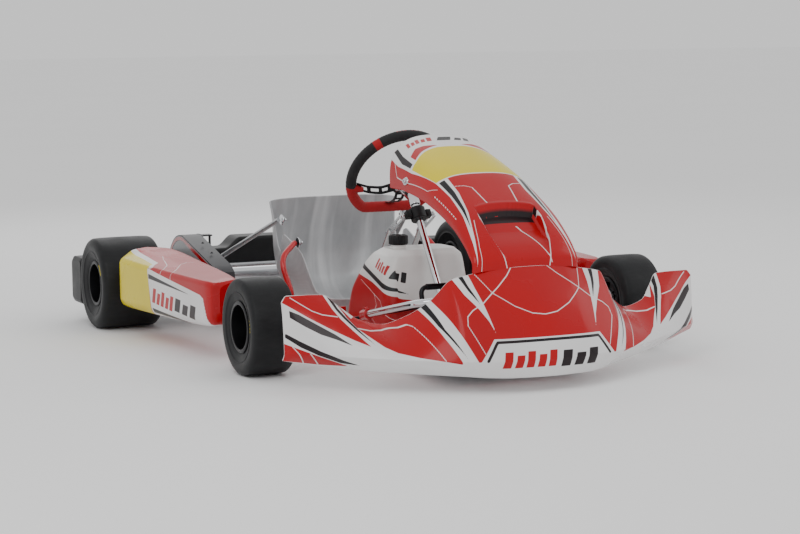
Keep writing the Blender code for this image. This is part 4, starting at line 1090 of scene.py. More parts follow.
def make_seat():
    spine = np.array(SEAT_SPINE)
    run = np.concatenate([[0], np.cumsum(np.linalg.norm(np.diff(spine[:, :2], axis=0), axis=1))])
    at = np.linspace(0, run[-1], 110)
    y, z, half, wall, lean = (flowing(run, spine[:, k], at)[:, None] for k in range(5))
    turn = np.linspace(-1, 1, 90)[None, :]
    angle = np.abs(turn) * math.pi / 2
    across = np.sign(turn) * np.sin(angle) ** 0.85 * half
    up = wall * (1 - np.cos(angle)) ** 1.3
    tilt = np.radians(lean)
    grid = np.stack(np.broadcast_arrays(SEAT_X + across, y - np.sin(tilt) * up, z + np.cos(tilt) * up), 2)
    data, _ = sheet_mesh("seat", grid, SEAT_WALL, flip=True, coarse=1)
    settle("seat", data, "seat_fibre", "chassis", "seat_shell")


# ---------------------------------------------------------------- tank
TANK_LEVELS = [
    # z, reach to the driver's left, reach to the right, front y, rear y
    (0.043, 0.112, 0.112, 0.110, 0.425), (0.052, 0.128, 0.128, 0.100, 0.433),
               (0.150, 0.131, 0.131, 0.112, 0.398),
    (0.225, 0.127, 0.124, 0.128, 0.338), (0.270, 0.122, 0.106, 0.140, 0.300),
               (0.288, 0.106, 0.080, 0.156, 0.282),
]


def make_tank():
    table = np.array(TANK_LEVELS)
    levels = np.concatenate([np.linspace(0.043, 0.060, 12), np.linspace(0.062, 0.262, 84),
                             np.linspace(0.264, 0.288, 14)])
    lefts, rights, fronts, rears = (flowing(table[:, 0], table[:, k], levels) for k in (1, 2, 3, 4))
    rings = []
    for z, left, right, front, rear in zip(levels, lefts, rights, fronts, rears):
        corner = min(0.042, right * 0.45)
        corners = [Vector((left, front)), Vector((left, rear)), Vector((-right, rear)),
                   Vector((-right, front))]
        ring = rounded_ring(corners, (corner,) * 4, 20, (90, 50, 90, 80))
        rings.append([Vector((p.x, p.y, z)) for p in ring])
    cap = centre_of("fuel_cap") - SHIFT
    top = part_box("fuel_cap")[0].z
    neck = Vector((cap.x, cap.y, top))
    neck_shape = [(-0.034, 0.0), (-0.034, 0.026), (-0.020, 0.023), (-0.012, 0.0215), (-0.001, 0.0215),
                  (-0.001, 0.0)]
    ends = [cap_rings(rings[0])[::-1], cap_rings(rings[-1])]
    meshes = [loft(ends[0] + rings + ends[1]), spun(neck_shape, neck)]
    thing = piece("tank", meshes, "tank_print", "chassis", "fuel_tank", smooth=55)
    print_tank(thing.data)
    make_cap(neck)


def spun(profile, base, axis=(0, 0, 1), sides=64):
    """A solid of revolution given as (distance along, radius) from its base; both ends lie on the axis."""
    rings = [[Vector(base) + Vector(axis) * a + v * max(r, 0.0001) for v in around(Vector(axis), sides)]
             for a, r in profile]
    return loft(rings)


def make_cap(neck):
    """A ribbed screw cap with a raised centre."""
    low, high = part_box("fuel_cap")
    radius = (high.x - low.x) / 2
    height = high.z - low.z
    rings = []
    for share, level in ((0.90, 0.0), (1.0, 0.08), (1.0, 0.80), (0.93, 0.92), (0.80, 0.93), (0.76, 0.86),
                         (0.3, 0.86),
                         (0.26, 1.0), (0.02, 1.0)):
        ring = []
        for k in range(144):
            rib = 1.0 - (0.035 if (k // 3) % 2 and 0.02 < level < 0.9 else 0.0)
            turn = 2 * math.pi * k / 144
            reach = radius * share * rib
            ring.append(neck + Vector((reach * math.cos(turn), reach * math.sin(turn), height * level)))
        rings.append(ring)
    piece("screw_cap", [loft(rings)], "black_plastic", "tank_cap", "fuel_cap")


TANK_RED = [[(-0.50, 0.236), (-0.223, 0.197), (-0.150, 0.178), (-0.090, 0.158), (0.0, 0.145), (0.50, 0.145),
             (0.50, 0.0), (-0.50, 0.0)]]
TANK_BLACK = [[(-0.300, 0.243), (-0.222, 0.221), (-0.140, 0.198), (-0.060, 0.168), (-0.150, 0.186),
               (-0.223, 0.208),
               (-0.300, 0.230)]]
TANK_THIN = [[(-0.30, 0.196), (-0.223, 0.172), (-0.16, 0.150), (-0.14, 0.12), (-0.10, 0.10)],
             [(-0.20, 0.165), (-0.185, 0.135), (-0.215, 0.10)]]


def print_tank(data):
    x, y, z = points_of(data).T
    y = y - SHIFT.y
    front = 0.112
    around_front = np.where(np.abs(x) > 0.098, np.sign(x) * (0.105 + (y - front)), x)
    u = np.where(x < 0, around_front, -around_front)
    store(data, "red", np.minimum(print_field(u, z, TANK_RED),
                                  print_field(around_front, z,
                                              slanted(-0.214, -0.138, 0.238, 0.264, 5, 0.2, 0.3, 0.018))))
    store(data, "black", np.minimum(print_field(u, z, TANK_BLACK),
                                    print_field(around_front, z,
                                                slanted(-0.132, -0.066, 0.214, 0.242, 3, 0.25, 0.3,
                                                        0.016))))
    store(data, "thin", print_field(u, z, lines=TANK_THIN))


def tank_finish():
    n = Nodes("tank_print")
    cloud = n.noise(7, 4, 0.5)
    base = n.drift(cloud, (0.70, 0.70, 0.68), (0.82, 0.82, 0.80))
    colour = inks(n, base, [("red", RED), ("black", INK), ("thin", WHITE)])
    n.link(colour, n.shader.inputs["Base Color"])
    n.link(n.spread(cloud, 0.3, 0.7, 0.26, 0.38), n.shader.inputs["Roughness"])
    n.shader.inputs["Subsurface Weight"].default_value = 0.08
    n.shader.inputs["Subsurface Radius"].default_value = (0.01, 0.01, 0.01)
    n.bump(n.noise(160, 4, 0.6), 0.12, 0.0008)
    return n.material


MATERIALS["tank_print"] = tank_finish()

# ---------------------------------------------------------------- tube frame
RAIL_R = 0.015
CROSS_R = 0.014
RAIL_Z = 0.055
RAIL_X = 0.300
WAIST_X = 0.225
SEAT_TUBE_Y = 0.500
FRONT_TUBE_Y = 0.075
FRONT_TUBE_Z = 0.0675
REAR_TUBE_Y = 1.148
REAR_TUBE_Z = 0.062
HOOP_X = 0.200
HOOP_Z = 0.058
HOOP_FRONT_Y = -0.400
SOCKET = ((0.275, -0.050, 0.1455), (0.275, -0.086, 0.153))
PEDAL_X = 0.168
PEDAL_Y = -0.310
SIDE_BAR_X = 0.478
SIDE_BAR_Z = 0.140


def rail_path(side):
    corners = [(RAIL_X, 1.165, REAR_TUBE_Z), (RAIL_X, 0.930, REAR_TUBE_Z), (WAIST_X, 0.610, RAIL_Z),
               (WAIST_X, 0.280, RAIL_Z), (0.296, 0.070, FRONT_TUBE_Z), (0.371, 0.004, 0.114)]
    return bend(mirrored(side, corners), 0.12, 10)


def make_frame():
    for label, side in SIDES:
        path = rail_path(side)
        beads = [bead((side * (RAIL_X - RAIL_R), REAR_TUBE_Y, REAR_TUBE_Z), (1, 0, 0), CROSS_R),
                 bead((side * (WAIST_X - RAIL_R), SEAT_TUBE_Y, RAIL_Z), (1, 0, 0), CROSS_R)]
        end = path[0]
        plug = spun([(0, 0), (0, RAIL_R - 0.001), (0.002, RAIL_R - 0.002), (0.003, 0.004), (0.001, 0.0)],
                    end, (0, 1, 0))
        piece(f"rail_tube_{label}", [sweep(path, RAIL_R), *beads, plug], "frame_paint", "chassis",
              f"frame_rail_{label}")
    cross("front", FRONT_TUBE_Y, FRONT_TUBE_Z, 0.284)
    cross("rear", REAR_TUBE_Y, REAR_TUBE_Z, RAIL_X - 0.016)
    tabs = [block((x - 0.012, SEAT_TUBE_Y - 0.004, 0.060), (x + 0.012, SEAT_TUBE_Y + 0.004, 0.094)) for x in
            (-0.105, 0.150)]
    cross("seat", SEAT_TUBE_Y, RAIL_Z, WAIST_X - 0.016, tabs)
    make_hoop()
    make_yokes()


def cross(name, y, z, half, extra=()):
    ends = [bead((side * half * 0.62, y, z), (1, 0, 0), CROSS_R - 0.0004, 0.0006) for side in (-1, 1)]
    tube = sweep([(-half, y, z), (half, y, z)], CROSS_R)
    piece(f"{name}_tube", [tube, *ends, *extra], "frame_paint", "chassis", f"{name}_cross_tube")


def make_hoop():
    start_y = FRONT_TUBE_Y - CROSS_R - 0.0004
    right = [(-HOOP_X, start_y, 0.066), (-HOOP_X, -0.1, HOOP_Z), (-HOOP_X, HOOP_FRONT_Y, HOOP_Z)]
    meshes = [sweep(bend(both_ways(right), 0.08, 12), CROSS_R)]
    for side in (-1, 1):
        back, front = mirrored(side, SOCKET)
        stub = mirrored(side, [(HOOP_X, -0.064, HOOP_Z), (0.235, -0.066, 0.085), (0.270, -0.068, 0.140)])
        meshes.append(sweep(bend(stub, 0.04, 8), 0.009))
        meshes.append(rod(back, front, 0.0145))
        meshes.append(bead(mirrored(side, [(HOOP_X + 0.010, -0.064, HOOP_Z + 0.008)])[0], (side, 0, 0.8),
                           0.0105))
        meshes.append(rod(*mirrored(side, [(HOOP_X, PEDAL_Y, HOOP_Z), (0.150, PEDAL_Y, HOOP_Z)]), 0.005))
        meshes.append(bead((side * HOOP_X, start_y - 0.002, 0.066), (0, 1, 0), CROSS_R))
        meshes += bolt((back + front) / 2 + Vector((0, 0.003, 0.0142)), (0, 0.2, 1), 0.0035)
    piece("porch_tube", meshes, "frame_paint", "chassis", "front_hoop")


KINGPIN_X = 0.420
KINGPIN_LEAN = math.radians(10)
CASTER = math.radians(12)


def kingpin_frame(side):
    """Centre and outward, rearward and upward axes of a steering knuckle."""
    up = Vector((-side * math.tan(KINGPIN_LEAN), math.tan(CASTER), 1)).normalized()
    rear = (Vector((0, 1, 0)) - up * up.y).normalized()
    out = rear.cross(up)
    centre = Vector((side * KINGPIN_X, 0, centre_of(f"front_tyre_{'left' if side > 0 else 'right'}").z))
    return centre, out * side * (1 if out.x > 0 else -1), rear, up


def make_yokes():
    outline = [(-0.042, -0.036), (0.014, -0.036), (0.014, -0.030), (-0.032, -0.030)]
    outline += [(a, -b) for a, b in reversed(outline)]
    for label, side in SIDES:
        centre, out, rear, up = kingpin_frame(side)
        rings = [[centre + out * a + up * b + rear * level for a, b in outline]
                 for level in (-0.014, 0.014)]
        meshes = [soften(loft(rings), 0.0015, 50)]
        meshes.append(rod(centre - up * 0.038, centre + up * 0.038, 0.005))
        meshes.append(hexagon(centre + up * 0.036, up, 0.0085, 0.007))
        meshes.append(hexagon(centre - up * 0.036, -up, 0.0085, 0.008))
        piece(f"yoke_{label}", meshes, "frame_paint", "chassis", f"kingpin_yoke_{label}")


# ---------------------------------------------------------------- steering
COLUMN_TILT = math.radians(34.5)
COLUMN_AXIS = Vector((0, math.sin(COLUMN_TILT), math.cos(COLUMN_TILT)))
COLUMN_POINT = Vector((0, 0.076, 0.213))
WHEEL_TILT = math.radians(55.5)
WHEEL_NORMAL = Vector((0, math.sin(WHEEL_TILT), math.cos(WHEEL_TILT)))
WHEEL_CENTRE = Vector((0, 0.331, 0.487))
RIM_RADIUS = 0.140
RIM_FLAT = 0.116
RIM_TUBE_R = 0.0155
HUB_DISH = 0.045


def column_at(z):
    return COLUMN_POINT + COLUMN_AXIS * ((z - COLUMN_POINT.z) / COLUMN_AXIS.z)


def wheel_point(x, y, height=0.0):
    """A point on the steering wheel: across, towards its top, and out of its plane."""
    top = Vector((1, 0, 0)).cross(WHEEL_NORMAL)
    return WHEEL_CENTRE + Vector((x, 0, 0)) + top * y + WHEEL_NORMAL * height


def make_steering_wheel():
    corner = math.acos(RIM_FLAT / RIM_RADIUS)
    start = -math.pi / 2 + corner
    extent = 2 * math.pi - 2 * corner
    turns = [start + extent * k / 220 for k in range(221)]
    flat = [(RIM_RADIUS * math.cos(t), RIM_RADIUS * math.sin(t)) for t in turns]
    reach = flat[-1][0]
    flat += [(reach + (flat[0][0] - reach) * k / 40, -RIM_FLAT) for k in range(1, 40)]
    smooth = soften_path(np.array(flat), 7)
    path = [wheel_point(a, b) for a, b in smooth]
    sizes = [RIM_TUBE_R - 0.0004 + 0.0005 * math.cos(k * 0.9) ** 8 for k in range(len(path))]
    rim_mesh = sweep(path, sizes, 36, closed=True)
    thing = piece("wheel_grip", [rim_mesh], "grip_suede", "steering", "steering_rim", smooth=80)
    print_grip(thing.data)
    make_spokes()


def soften_path(points, passes):
    for _ in range(passes):
        points = (np.roll(points, 1, 0) + points * 2 + np.roll(points, -1, 0)) / 4
    return points


def print_grip(data):
    """Red lower third with slanted ends, two red marker bands and small red dashes at the top."""
    local = points_of(data) - np.array(WHEEL_CENTRE + SHIFT)
    top = np.array(wheel_point(0, 1) - WHEEL_CENTRE)
    x = local[:, 0]
    y = local @ top
    height = local @ np.array(WHEEL_NORMAL)
    angle = np.degrees(np.arctan2(y, np.abs(x)))
    low = y + 0.040 + 0.35 * height
    band = (np.abs(angle - 52) - 4.2) * 0.0024
    dashes = np.maximum(np.abs(angle - 82) - 7, 2.2 - np.abs(angle % 3.2 - 1.6) - 1.3) * 0.0024
    dashes = np.maximum(dashes, np.abs(height - 0.008) - 0.006)
    store(data, "grip_red", np.minimum.reduce([low, band, dashes]))


def make_spokes():
    """A dished three-arm plate with windows in its arms and socket screws at its hub."""
    dish = WHEEL_CENTRE - WHEEL_NORMAL * HUB_DISH
    hub = turned([(-0.0028, 0.008), (0.0028, 0.008), (0.0030, 0.030), (0.0024, 0.034), (-0.0024, 0.034),
                  (-0.003, 0.030)], dish, WHEEL_NORMAL)
    meshes = [hub]
    reach = RIM_RADIUS - RIM_TUBE_R - 0.0022
    low_reach = RIM_FLAT - RIM_TUBE_R - 0.0010
    for x, y in ((-reach * 0.955, -reach * 0.30), (reach * 0.955, -reach * 0.30), (0.0, -low_reach)):
        meshes.append(spoke(x, y))
    for k in range(6):
        turn = math.pi * (k + 0.5) / 3
        out = wheel_point(0.022 * math.cos(turn), 0.022 * math.sin(turn), 0.0025 - HUB_DISH)
        meshes += bolt(out, WHEEL_NORMAL, 0.0022, washer=False)
    piece("wheel_spokes", meshes, "black_anodised", "steering", "steering_spokes")
    make_thumb_rests()


def make_thumb_rests():
    """Tapered red gussets where the side arms meet the grip."""
    shares = [k / 13 for k in range(14)]
    for label, side in SIDES:
        path = [wheel_point(side * (0.134 - 0.034 * t), -0.041 - 0.001 * t, -0.001 - 0.010 * t)
                for t in shares]
        sizes = [0.0145 - 0.0075 * t ** 1.3 for t in shares]
        thumb = piece(f"thumb_rest_{label}", [sweep(path, sizes, 28)], "grip_suede", "steering", smooth=80)
        store(thumb.data, "grip_red", np.full(len(thumb.data.vertices), -1.0))


def spoke(x, y):
    """One arm, built as a strip of cells with windows left open."""
    length = math.hypot(x, y)
    along_x, along_y = x / length, y / length
    cross_x, cross_y = -along_y, along_x
    steps = 60
    lanes = 12
    mesh = bmesh.new()
    layers = []
    for level in (-0.0019, 0.0019):
        grid = []
        for k in range(steps + 1):
            t = 0.16 + 0.84 * k / steps
            rise = flowing((0.0, 0.45, 0.75, 1.0), (-HUB_DISH, -HUB_DISH, -0.030, -0.001), [t])[0]
            width = flowing((0.0, 0.45, 1.0), (0.0165, 0.0145, 0.0135), [t])[0]
            row = []
            for j in range(lanes + 1):
                w = width * (2 * j / lanes - 1)
                row.append(mesh.verts.new(wheel_point(along_x * t * length + cross_x * w,
                                                      along_y * t * length + cross_y * w, rise + level)))
            grid.append(row)
        layers.append(grid)
    windows = ((15, 25), (30, 42), (47, 55))
    solid = {(k, j) for k in range(steps) for j in range(lanes)
             if not any(a <= k < b and 3 <= j < lanes - 3 for a, b in windows)}
    return pierced(mesh, layers, solid, lanes + 2)


ARM_ROOT_Z = 0.150
ARM_REACH = 0.059


def steering_arm():
    """Both ends of the arm that the column carries for the tie rods."""
    root = COLUMN_POINT - COLUMN_AXIS * ((COLUMN_POINT.z - ARM_ROOT_Z) / COLUMN_AXIS.z)
    down = Vector((0, math.cos(COLUMN_TILT), -math.sin(COLUMN_TILT)))
    return root, root + down * ARM_REACH


def make_column():
    top = column_at(0.418)
    dish = WHEEL_CENTRE - WHEEL_NORMAL * HUB_DISH
    meshes = [rod(column_at(0.086), top, 0.010)]
    neck = [(top - COLUMN_AXIS * 0.014, 0.0105), (top - COLUMN_AXIS * 0.012, 0.0145),
            (top + COLUMN_AXIS * 0.008, 0.0155)]
    neck += [(dish - WHEEL_NORMAL * 0.016, 0.0185), (dish - WHEEL_NORMAL * 0.009, 0.026),
             (dish - WHEEL_NORMAL * 0.0036, 0.0275)]
    axes = (COLUMN_AXIS, COLUMN_AXIS, COLUMN_AXIS, WHEEL_NORMAL, WHEEL_NORMAL, WHEEL_NORMAL)
    meshes.append(loft([[p + v * r for v in level_circle(a, 48)] for (p, r), a in zip(neck, axes)]))
    root, tip = steering_arm()
    rings = []
    for level in (-0.003, 0.003):
        wide = [root + Vector((x, 0, 0)) - (tip - root) * 0.2 for x in (-0.016, 0.016)]
        ends = [tip + Vector((x, 0, 0)) + (tip - root) * 0.16 for x in (0.030, -0.030)]
        rings.append([p + COLUMN_AXIS * level for p in wide + ends])
    meshes.append(soften(loft(rings), 0.001, 50))
    meshes.append(turned(ring_outline(0.008, 0.0099, 0.014), root,
                         COLUMN_AXIS, 40))
    for x in (-ROD_END_X, ROD_END_X):
        meshes.append(hexagon(tip + Vector((x, 0, 0)) + COLUMN_AXIS * 0.003, COLUMN_AXIS, 0.0065, 0.0035))
    piece("column", meshes, "chrome", "steering", "steering_column")


def level_circle(axis, sides):
    across = Vector((1, 0, 0))
    up = axis.cross(across)
    turns = [2 * math.pi * k / sides for k in range(sides)]
    return [math.cos(turn) * across + math.sin(turn) * up for turn in turns]


def make_mounts():
    middle = column_at(0.383)
    turn = Matrix.Rotation(-COLUMN_TILT, 3, "X")
    spread = Vector((0.038, 0.010, 0.011))
    collar = ring_outline(0.018, 0.0105, 0.023, 0.002)
    meshes = [turned(collar, middle, COLUMN_AXIS, 64)]
    for side in (-1, 1):
        low = middle + Vector((side * 0.038 - (0.016 if side > 0 else 0), -spread.y, -spread.z))
        high = low + Vector((0.016, 2 * spread.y, 2 * spread.z))
        meshes.append(block(low, high, turn, middle, 0.002))
    piece("bushing", meshes, "black_plastic", "chassis", "column_bushing")
    foot = column_at(0.070)
    bowl = [(-0.012, 0.0001), (-0.012, 0.014), (-0.009, 0.0172), (0.016, 0.0172), (0.018, 0.016),
            (0.018, 0.0108),
            (0.006, 0.0108), (0.006, 0.0001)]
    shelf = block((-0.016, foot.y, 0.058), (0.016, FRONT_TUBE_Y - CROSS_R, 0.067))
    piece("foot_bearing", [spun(bowl, foot, COLUMN_AXIS), shelf], "black_anodised", "chassis",
          "column_foot_bearing")
    for label, side in SIDES:
        low, high = mirrored(side, [(0.047, 0.4895, 0.0676), (0.047, 0.277, 0.3345)])
        inner, outer = sorted((side * 0.0445, side * 0.0485))
        slot_hole = stadium((0.196, 0.378), (0.232, 0.358), 0.0042)
        meshes = [rod(low, high, 0.008), bead(low + (high - low) * 0.004, high - low, 0.0085)]
        meshes.append(slotted(stadium((0.196, 0.378), (0.290, 0.325), 0.011), slot_hole, inner, outer))
        piece(f"raked_upright_{label}", meshes, "bright_plate", "chassis", f"steering_support_{label}")
        screws = []
        for y, z in ((0.196, 0.378), (0.290, 0.325)):
            screws += bolt((side * 0.0485, y, z), (side, 0, 0), 0.0042)
        piece(f"upright_screws_{label}", screws, "chrome", "chassis")


def slotted(outline, hole, low, high):
    """A plate with one window, filled between its outline and the window's edge."""
    count = 96
    outer = resample(outline, count)
    inner = resample(hole, count)
    rings = []
    for points, level in ((outer, low), (outer, high), (inner, high), (inner, low)):
        rings.append([Vector((level, a, b)) for a, b in points])
    return loft(rings, closed=True)


def resample(outline, count):
    """Points spread by direction from the outline's own middle, starting along +Y."""
    points = np.array(outline)
    middle = points.mean(0)
    closed = np.vstack([points, points[:1]])
    lengths = np.concatenate([[0], np.cumsum(np.linalg.norm(np.diff(closed, axis=0), axis=1))])
    at = np.linspace(0, lengths[-1], count, endpoint=False)
    ring = np.stack([np.interp(at, lengths, closed[:, k]) for k in (0, 1)], 1)
    first = np.argmin(np.abs(np.arctan2(*(ring - middle).T[::-1])))
    return np.roll(ring, -first, axis=0)


ARM_LENGTH = 0.100
ROD_END_LIFT = 0.024
ROD_END_X = 0.019


def make_knuckles():
    for label, side in SIDES:
        centre, out, rear, up = kingpin_frame(side)
        spin = Vector((side, 0, 0))
        meshes = [turned(ring_outline(0.0292, 0.0062, 0.0125, 0.001, 0.0012), centre, up, 48)]
        shaft = [(0.010, 0), (0.010, 0.0122), (0.025, 0.0122), (0.026, 0.0085), (0.137, 0.0085),
                 (0.138, 0.0075)]
        shaft += [(0.152, 0.0075), (0.152, 0)]
        meshes.append(spun(shaft, centre, spin))
        arm = [centre + rear * y - up * 0.017 + out * x for x, y in ((-0.011, 0.010), (-0.012, ARM_LENGTH))]
        bars = []
        for p, w in zip(arm, (0.011, 0.007)):
            bars.append([p + out * a + up * b for a,
                         b in ((-w, -0.003), (w, -0.003), (w, 0.003), (-w, 0.003))])
        meshes.append(soften(loft(bars), 0.001, 50))
        meshes.append(rod(arm[1] - up * 0.003, arm[1] + up * 0.003, 0.009))
        piece(f"spindle_{label}", meshes, "steel", f"knuckle_{label}", f"stub_axle_{label}")
        outer = arm[1] + up * 0.0105
        inner = steering_arm()[1] + Vector((side * ROD_END_X, 0, 0)) + COLUMN_AXIS * ROD_END_LIFT
        along = (inner - outer).normalized()
        meshes = [rod(outer + along * 0.008, inner - along * 0.008, 0.0043)]
        for end, axis, heading in ((outer, up, along), (inner, COLUMN_AXIS, -along)):
            meshes.append(turned(ring_outline(0.0066, 0.003, 0.0098, 0.0018, 0.0026), end, axis, 40))
            meshes.append(hexagon(end + heading * 0.016, heading, 0.0058, 0.005))
        piece(f"track_rod_{label}", meshes, "black_anodised", f"track_rod_{label}", f"tie_rod_{label}")


# ---------------------------------------------------------------- axle, hubs and brake
def make_axle():
    low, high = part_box("rear_axle")
    centre = (low + high) / 2 - SHIFT
    half = (high.x - low.x) / 2
    radius = (high.z - low.z) / 2
    tube = ring_outline(half, radius - 0.003, radius, 0.0006)
    piece("axle", [turned(tube, centre, sides=72)], "chrome", "rear_axle_assembly", "rear_axle")
    bore = radius + 0.0006
    for label, side in SIDES:
        inner_end, face = 0.455, 0.557
        shape = [(inner_end, bore), (inner_end, 0.033), (inner_end + 0.001, 0.034), (0.500, 0.034),
                 (0.502, 0.0325),
                 (0.535, 0.0325), (face - 0.010, 0.036), (face - 0.009, 0.045), (face - 0.008, 0.046),
                 (face - 0.001, 0.046), (face, 0.045), (face, bore)]
        meshes = [turned([(side * a, r) for a, r in shape], centre, sides=72)]
        for k in range(2):
            out = Vector((0, 0, 1)) if k else Vector((0, 1, 0))
            meshes += bolt(centre + Vector((side * 0.47, 0, 0)) + out * 0.0335, out, 0.003, washer=False)
        piece(f"axle_hub_{label}", meshes, "alloy", "rear_axle_assembly", f"rear_hub_{label}")
        carrier_x = side * RAIL_X
        shell = ring_outline(0.013, bore, 0.043, 0.002)
        spot = Vector((carrier_x, centre.y, centre.z))
        foot = block((carrier_x - 0.012, centre.y - 0.038, 0.0775),
                     (carrier_x + 0.012, centre.y + 0.038, 0.118))
        meshes = [turned(shell, spot, sides=72), foot]
        for offset in (-0.030, 0.030):
            meshes += bolt((carrier_x, centre.y + offset, 0.1178), (0, 0, 1), 0.0038)
        piece(f"carrier_{label}", meshes, "black_plastic", "chassis", f"bearing_carrier_{label}")
    make_sprocket(centre, bore)
    make_disc(centre, bore)


SPROCKET_X = -0.380
DISC_X = 0.262


def make_sprocket(centre, bore):
    outline = []
    teeth = 60
    for k in range(teeth):
        for share, radius in ((0.0, 0.0925), (0.25, 0.0925), (0.42, 0.0985), (0.5, 0.0995), (0.58, 0.0995),
                              (0.66, 0.0985)):
            turn = 2 * math.pi * (k + share) / teeth
            outline.append((radius * math.cos(turn), radius * math.sin(turn)))
    count = len(outline)
    rings = []
    for level, inner in ((-0.0024, False), (0.0024, False), (0.0024, True), (-0.0024, True)):
        if inner:
            points = [(bore * math.cos(2 * math.pi * k / count), bore * math.sin(2 * math.pi * k / count))
                      for k in
                      range(count)]
        else:
            points = outline
        rings.append([Vector((SPROCKET_X + level, centre.y + a, centre.z + b)) for a, b in points])
    meshes = [loft(rings, closed=True)]
    hub = [(0.002, bore), (0.002, 0.041), (0.018, 0.041), (0.0195, 0.0395), (0.0195, bore)]
    meshes.append(turned(hub, (SPROCKET_X, centre.y, centre.z), sides=64))
    for spot in round_spots(Vector((SPROCKET_X, centre.y, centre.z)), -0.0022, 0.055, 6):
        meshes += bolt(spot, (-1, 0, 0), 0.0026)
    piece("chain_wheel", meshes, "alloy", "rear_axle_assembly", "sprocket")


def make_disc(centre, bore):
    thick, outer, inner = 0.0058, 0.098, 0.053
    outline = [(-thick, inner), (-thick, outer - 0.001), (-thick + 0.001, outer), (-0.0022, outer),
               (-0.0020, outer - 0.006),
               (0.0020, outer - 0.006), (0.0022, outer), (thick - 0.001, outer), (thick, outer - 0.001),
               (thick, inner)]
    spot = Vector((DISC_X, centre.y, centre.z))
    meshes = [turned(outline, spot, sides=96)]
    bell = [(-0.022, bore), (-0.022, 0.039), (-0.021, 0.040), (-0.004, 0.040), (-0.004, 0.0535),
            (0.002, 0.0535),
            (0.002, bore)]
    meshes.append(turned(bell, spot, sides=72))
    for k in range(24):
        turn = math.pi * (k + 0.5) / 12
        reach = 0.066 + 0.016 * (k % 2)
        hole = spot + Vector((-thick, reach * math.cos(turn), reach * math.sin(turn)))
        meshes.append(turned([(-0.0002, 0.0022), (-0.0002, 0.0034), (0.0003, 0.0034), (0.0003, 0.0022)],
                             hole, sides=16))
    piece("disc", meshes, "steel", "rear_axle_assembly", "brake_disc")


def make_caliper():
    """Two caliper halves over the disc, joined by a bridge, with bolts on both faces."""
    turn = Matrix.Rotation(math.radians(45), 3, "X")
    centre = Vector((DISC_X, AXLE_Y, AXLE_Z))
    meshes = []
    for low_x, high_x in ((-0.030, -0.0082), (0.0082, 0.026)):
        meshes.append(block(centre + Vector((low_x, 0.064, -0.032)),
                            centre + Vector((high_x, 0.110, 0.032)), turn,
                            centre, 0.004))
    meshes.append(block(centre + Vector((-0.029, 0.1015, -0.026)), centre + Vector((0.025, 0.1115, 0.026)),
                        turn,
                        centre, 0.003))
    for offset in (-0.020, 0.020):
        spot = centre + turn @ Vector((-0.030, 0.088, offset))
        meshes += bolt(spot, (-1, 0, 0), 0.0045)
        meshes += bolt(centre + turn @ Vector((0.0258, 0.094, offset)), (1, 0, 0), 0.0038)
    piece("caliper", meshes, "black_anodised", "chassis", "brake_caliper")


def make_front_hubs():
    for label, side in SIDES:
        centre = Vector((0, 0, centre_of(f"front_tyre_{label}").z))
        bore = 0.0092
        face = FRONT_WEB_X - 0.0030
        outline = [(0.4485, bore), (0.4485, 0.020), (0.4495, 0.021), (face - 0.007, 0.021),
                   (face - 0.006, 0.036),
                   (face - 0.005, 0.037), (face - 0.001, 0.037), (face, 0.036), (face, 0.0185),
                   (face + 0.006, 0.0185),
                   (0.559, 0.0165), (0.560, 0.0155), (0.560, bore)]
        meshes = [turned([(side * a, r) for a, r in outline], centre, sides=64)]
        for spot in round_spots(centre, side * (face - 0.006), STUD_CIRCLE, 3, 0.25):
            meshes.append(hexagon(spot, (-side, 0, 0), 0.0048, 0.004))
        piece(f"hub_{label}", meshes, "alloy", f"front_wheel_{label}", f"front_hub_{label}")
        nut = hexagon(centre + Vector((side * 0.5606, 0, 0)), (side, 0, 0), 0.012, 0.008)
        piece(f"wheel_nut_{label}", [nut, rod(centre + Vector((side * 0.568, 0, 0)),
                                              centre + Vector((side * 0.5725, 0, 0)),
                                              0.0075)], "chrome", f"knuckle_{label}")


# ---------------------------------------------------------------- seat supports
def make_seat_supports():
    for label, side in SIDES:
        edge = SEAT_X + side * 0.2125
        strut = mirrored(side, [(0.2335, 0.566, 0.0712), (0.236, 0.574, 0.14), (0.256, 0.605, 0.232)])
        strut.append(Vector((edge, 0.652, 0.272)))
        path = bend(strut, 0.08, 14)
        meshes = [sweep(path, 0.0085), bead(path[0] + Vector((0, 0, 0.0045)), (0, 0.1, 1), 0.0088)]
        piece(f"strut_{label}", meshes, "frame_paint", "chassis", f"seat_strut_{label}")
        stay = [Vector((edge, 0.782, 0.330)), *mirrored(side,
                                                        [(0.287, 1.028, 0.2010), (0.300, 1.044, 0.1910)])]
        path = bend(stay, 0.02, 8)
        piece(f"stay_{label}", [sweep(path, 0.0073), bead(path[-1], (0, 0.4, -0.3), 0.0068)], "steel",
              "chassis",
              f"seat_stay_{label}")
        wall = SEAT_X + side * 0.2010
        screws = []
        for y, z in ((0.782, 0.330), (0.652, 0.272)):
            spot = Vector((wall, y, z))
            screws.append(spun([(0, 0), (0, 0.016), (0.0015, 0.0165), (0.003, 0.015), (0.003, 0)], spot,
                               (side, 0, 0)))
            screws += bolt(spot + Vector((-side * 0.006, 0, 0)), (-side, 0, 0), 0.0042)
        piece(f"seat_screws_{label}", screws, "chrome", "chassis")


# ---------------------------------------------------------------- bumpers, side bars, tray
TAIL_SCREW_Y = 1.3185


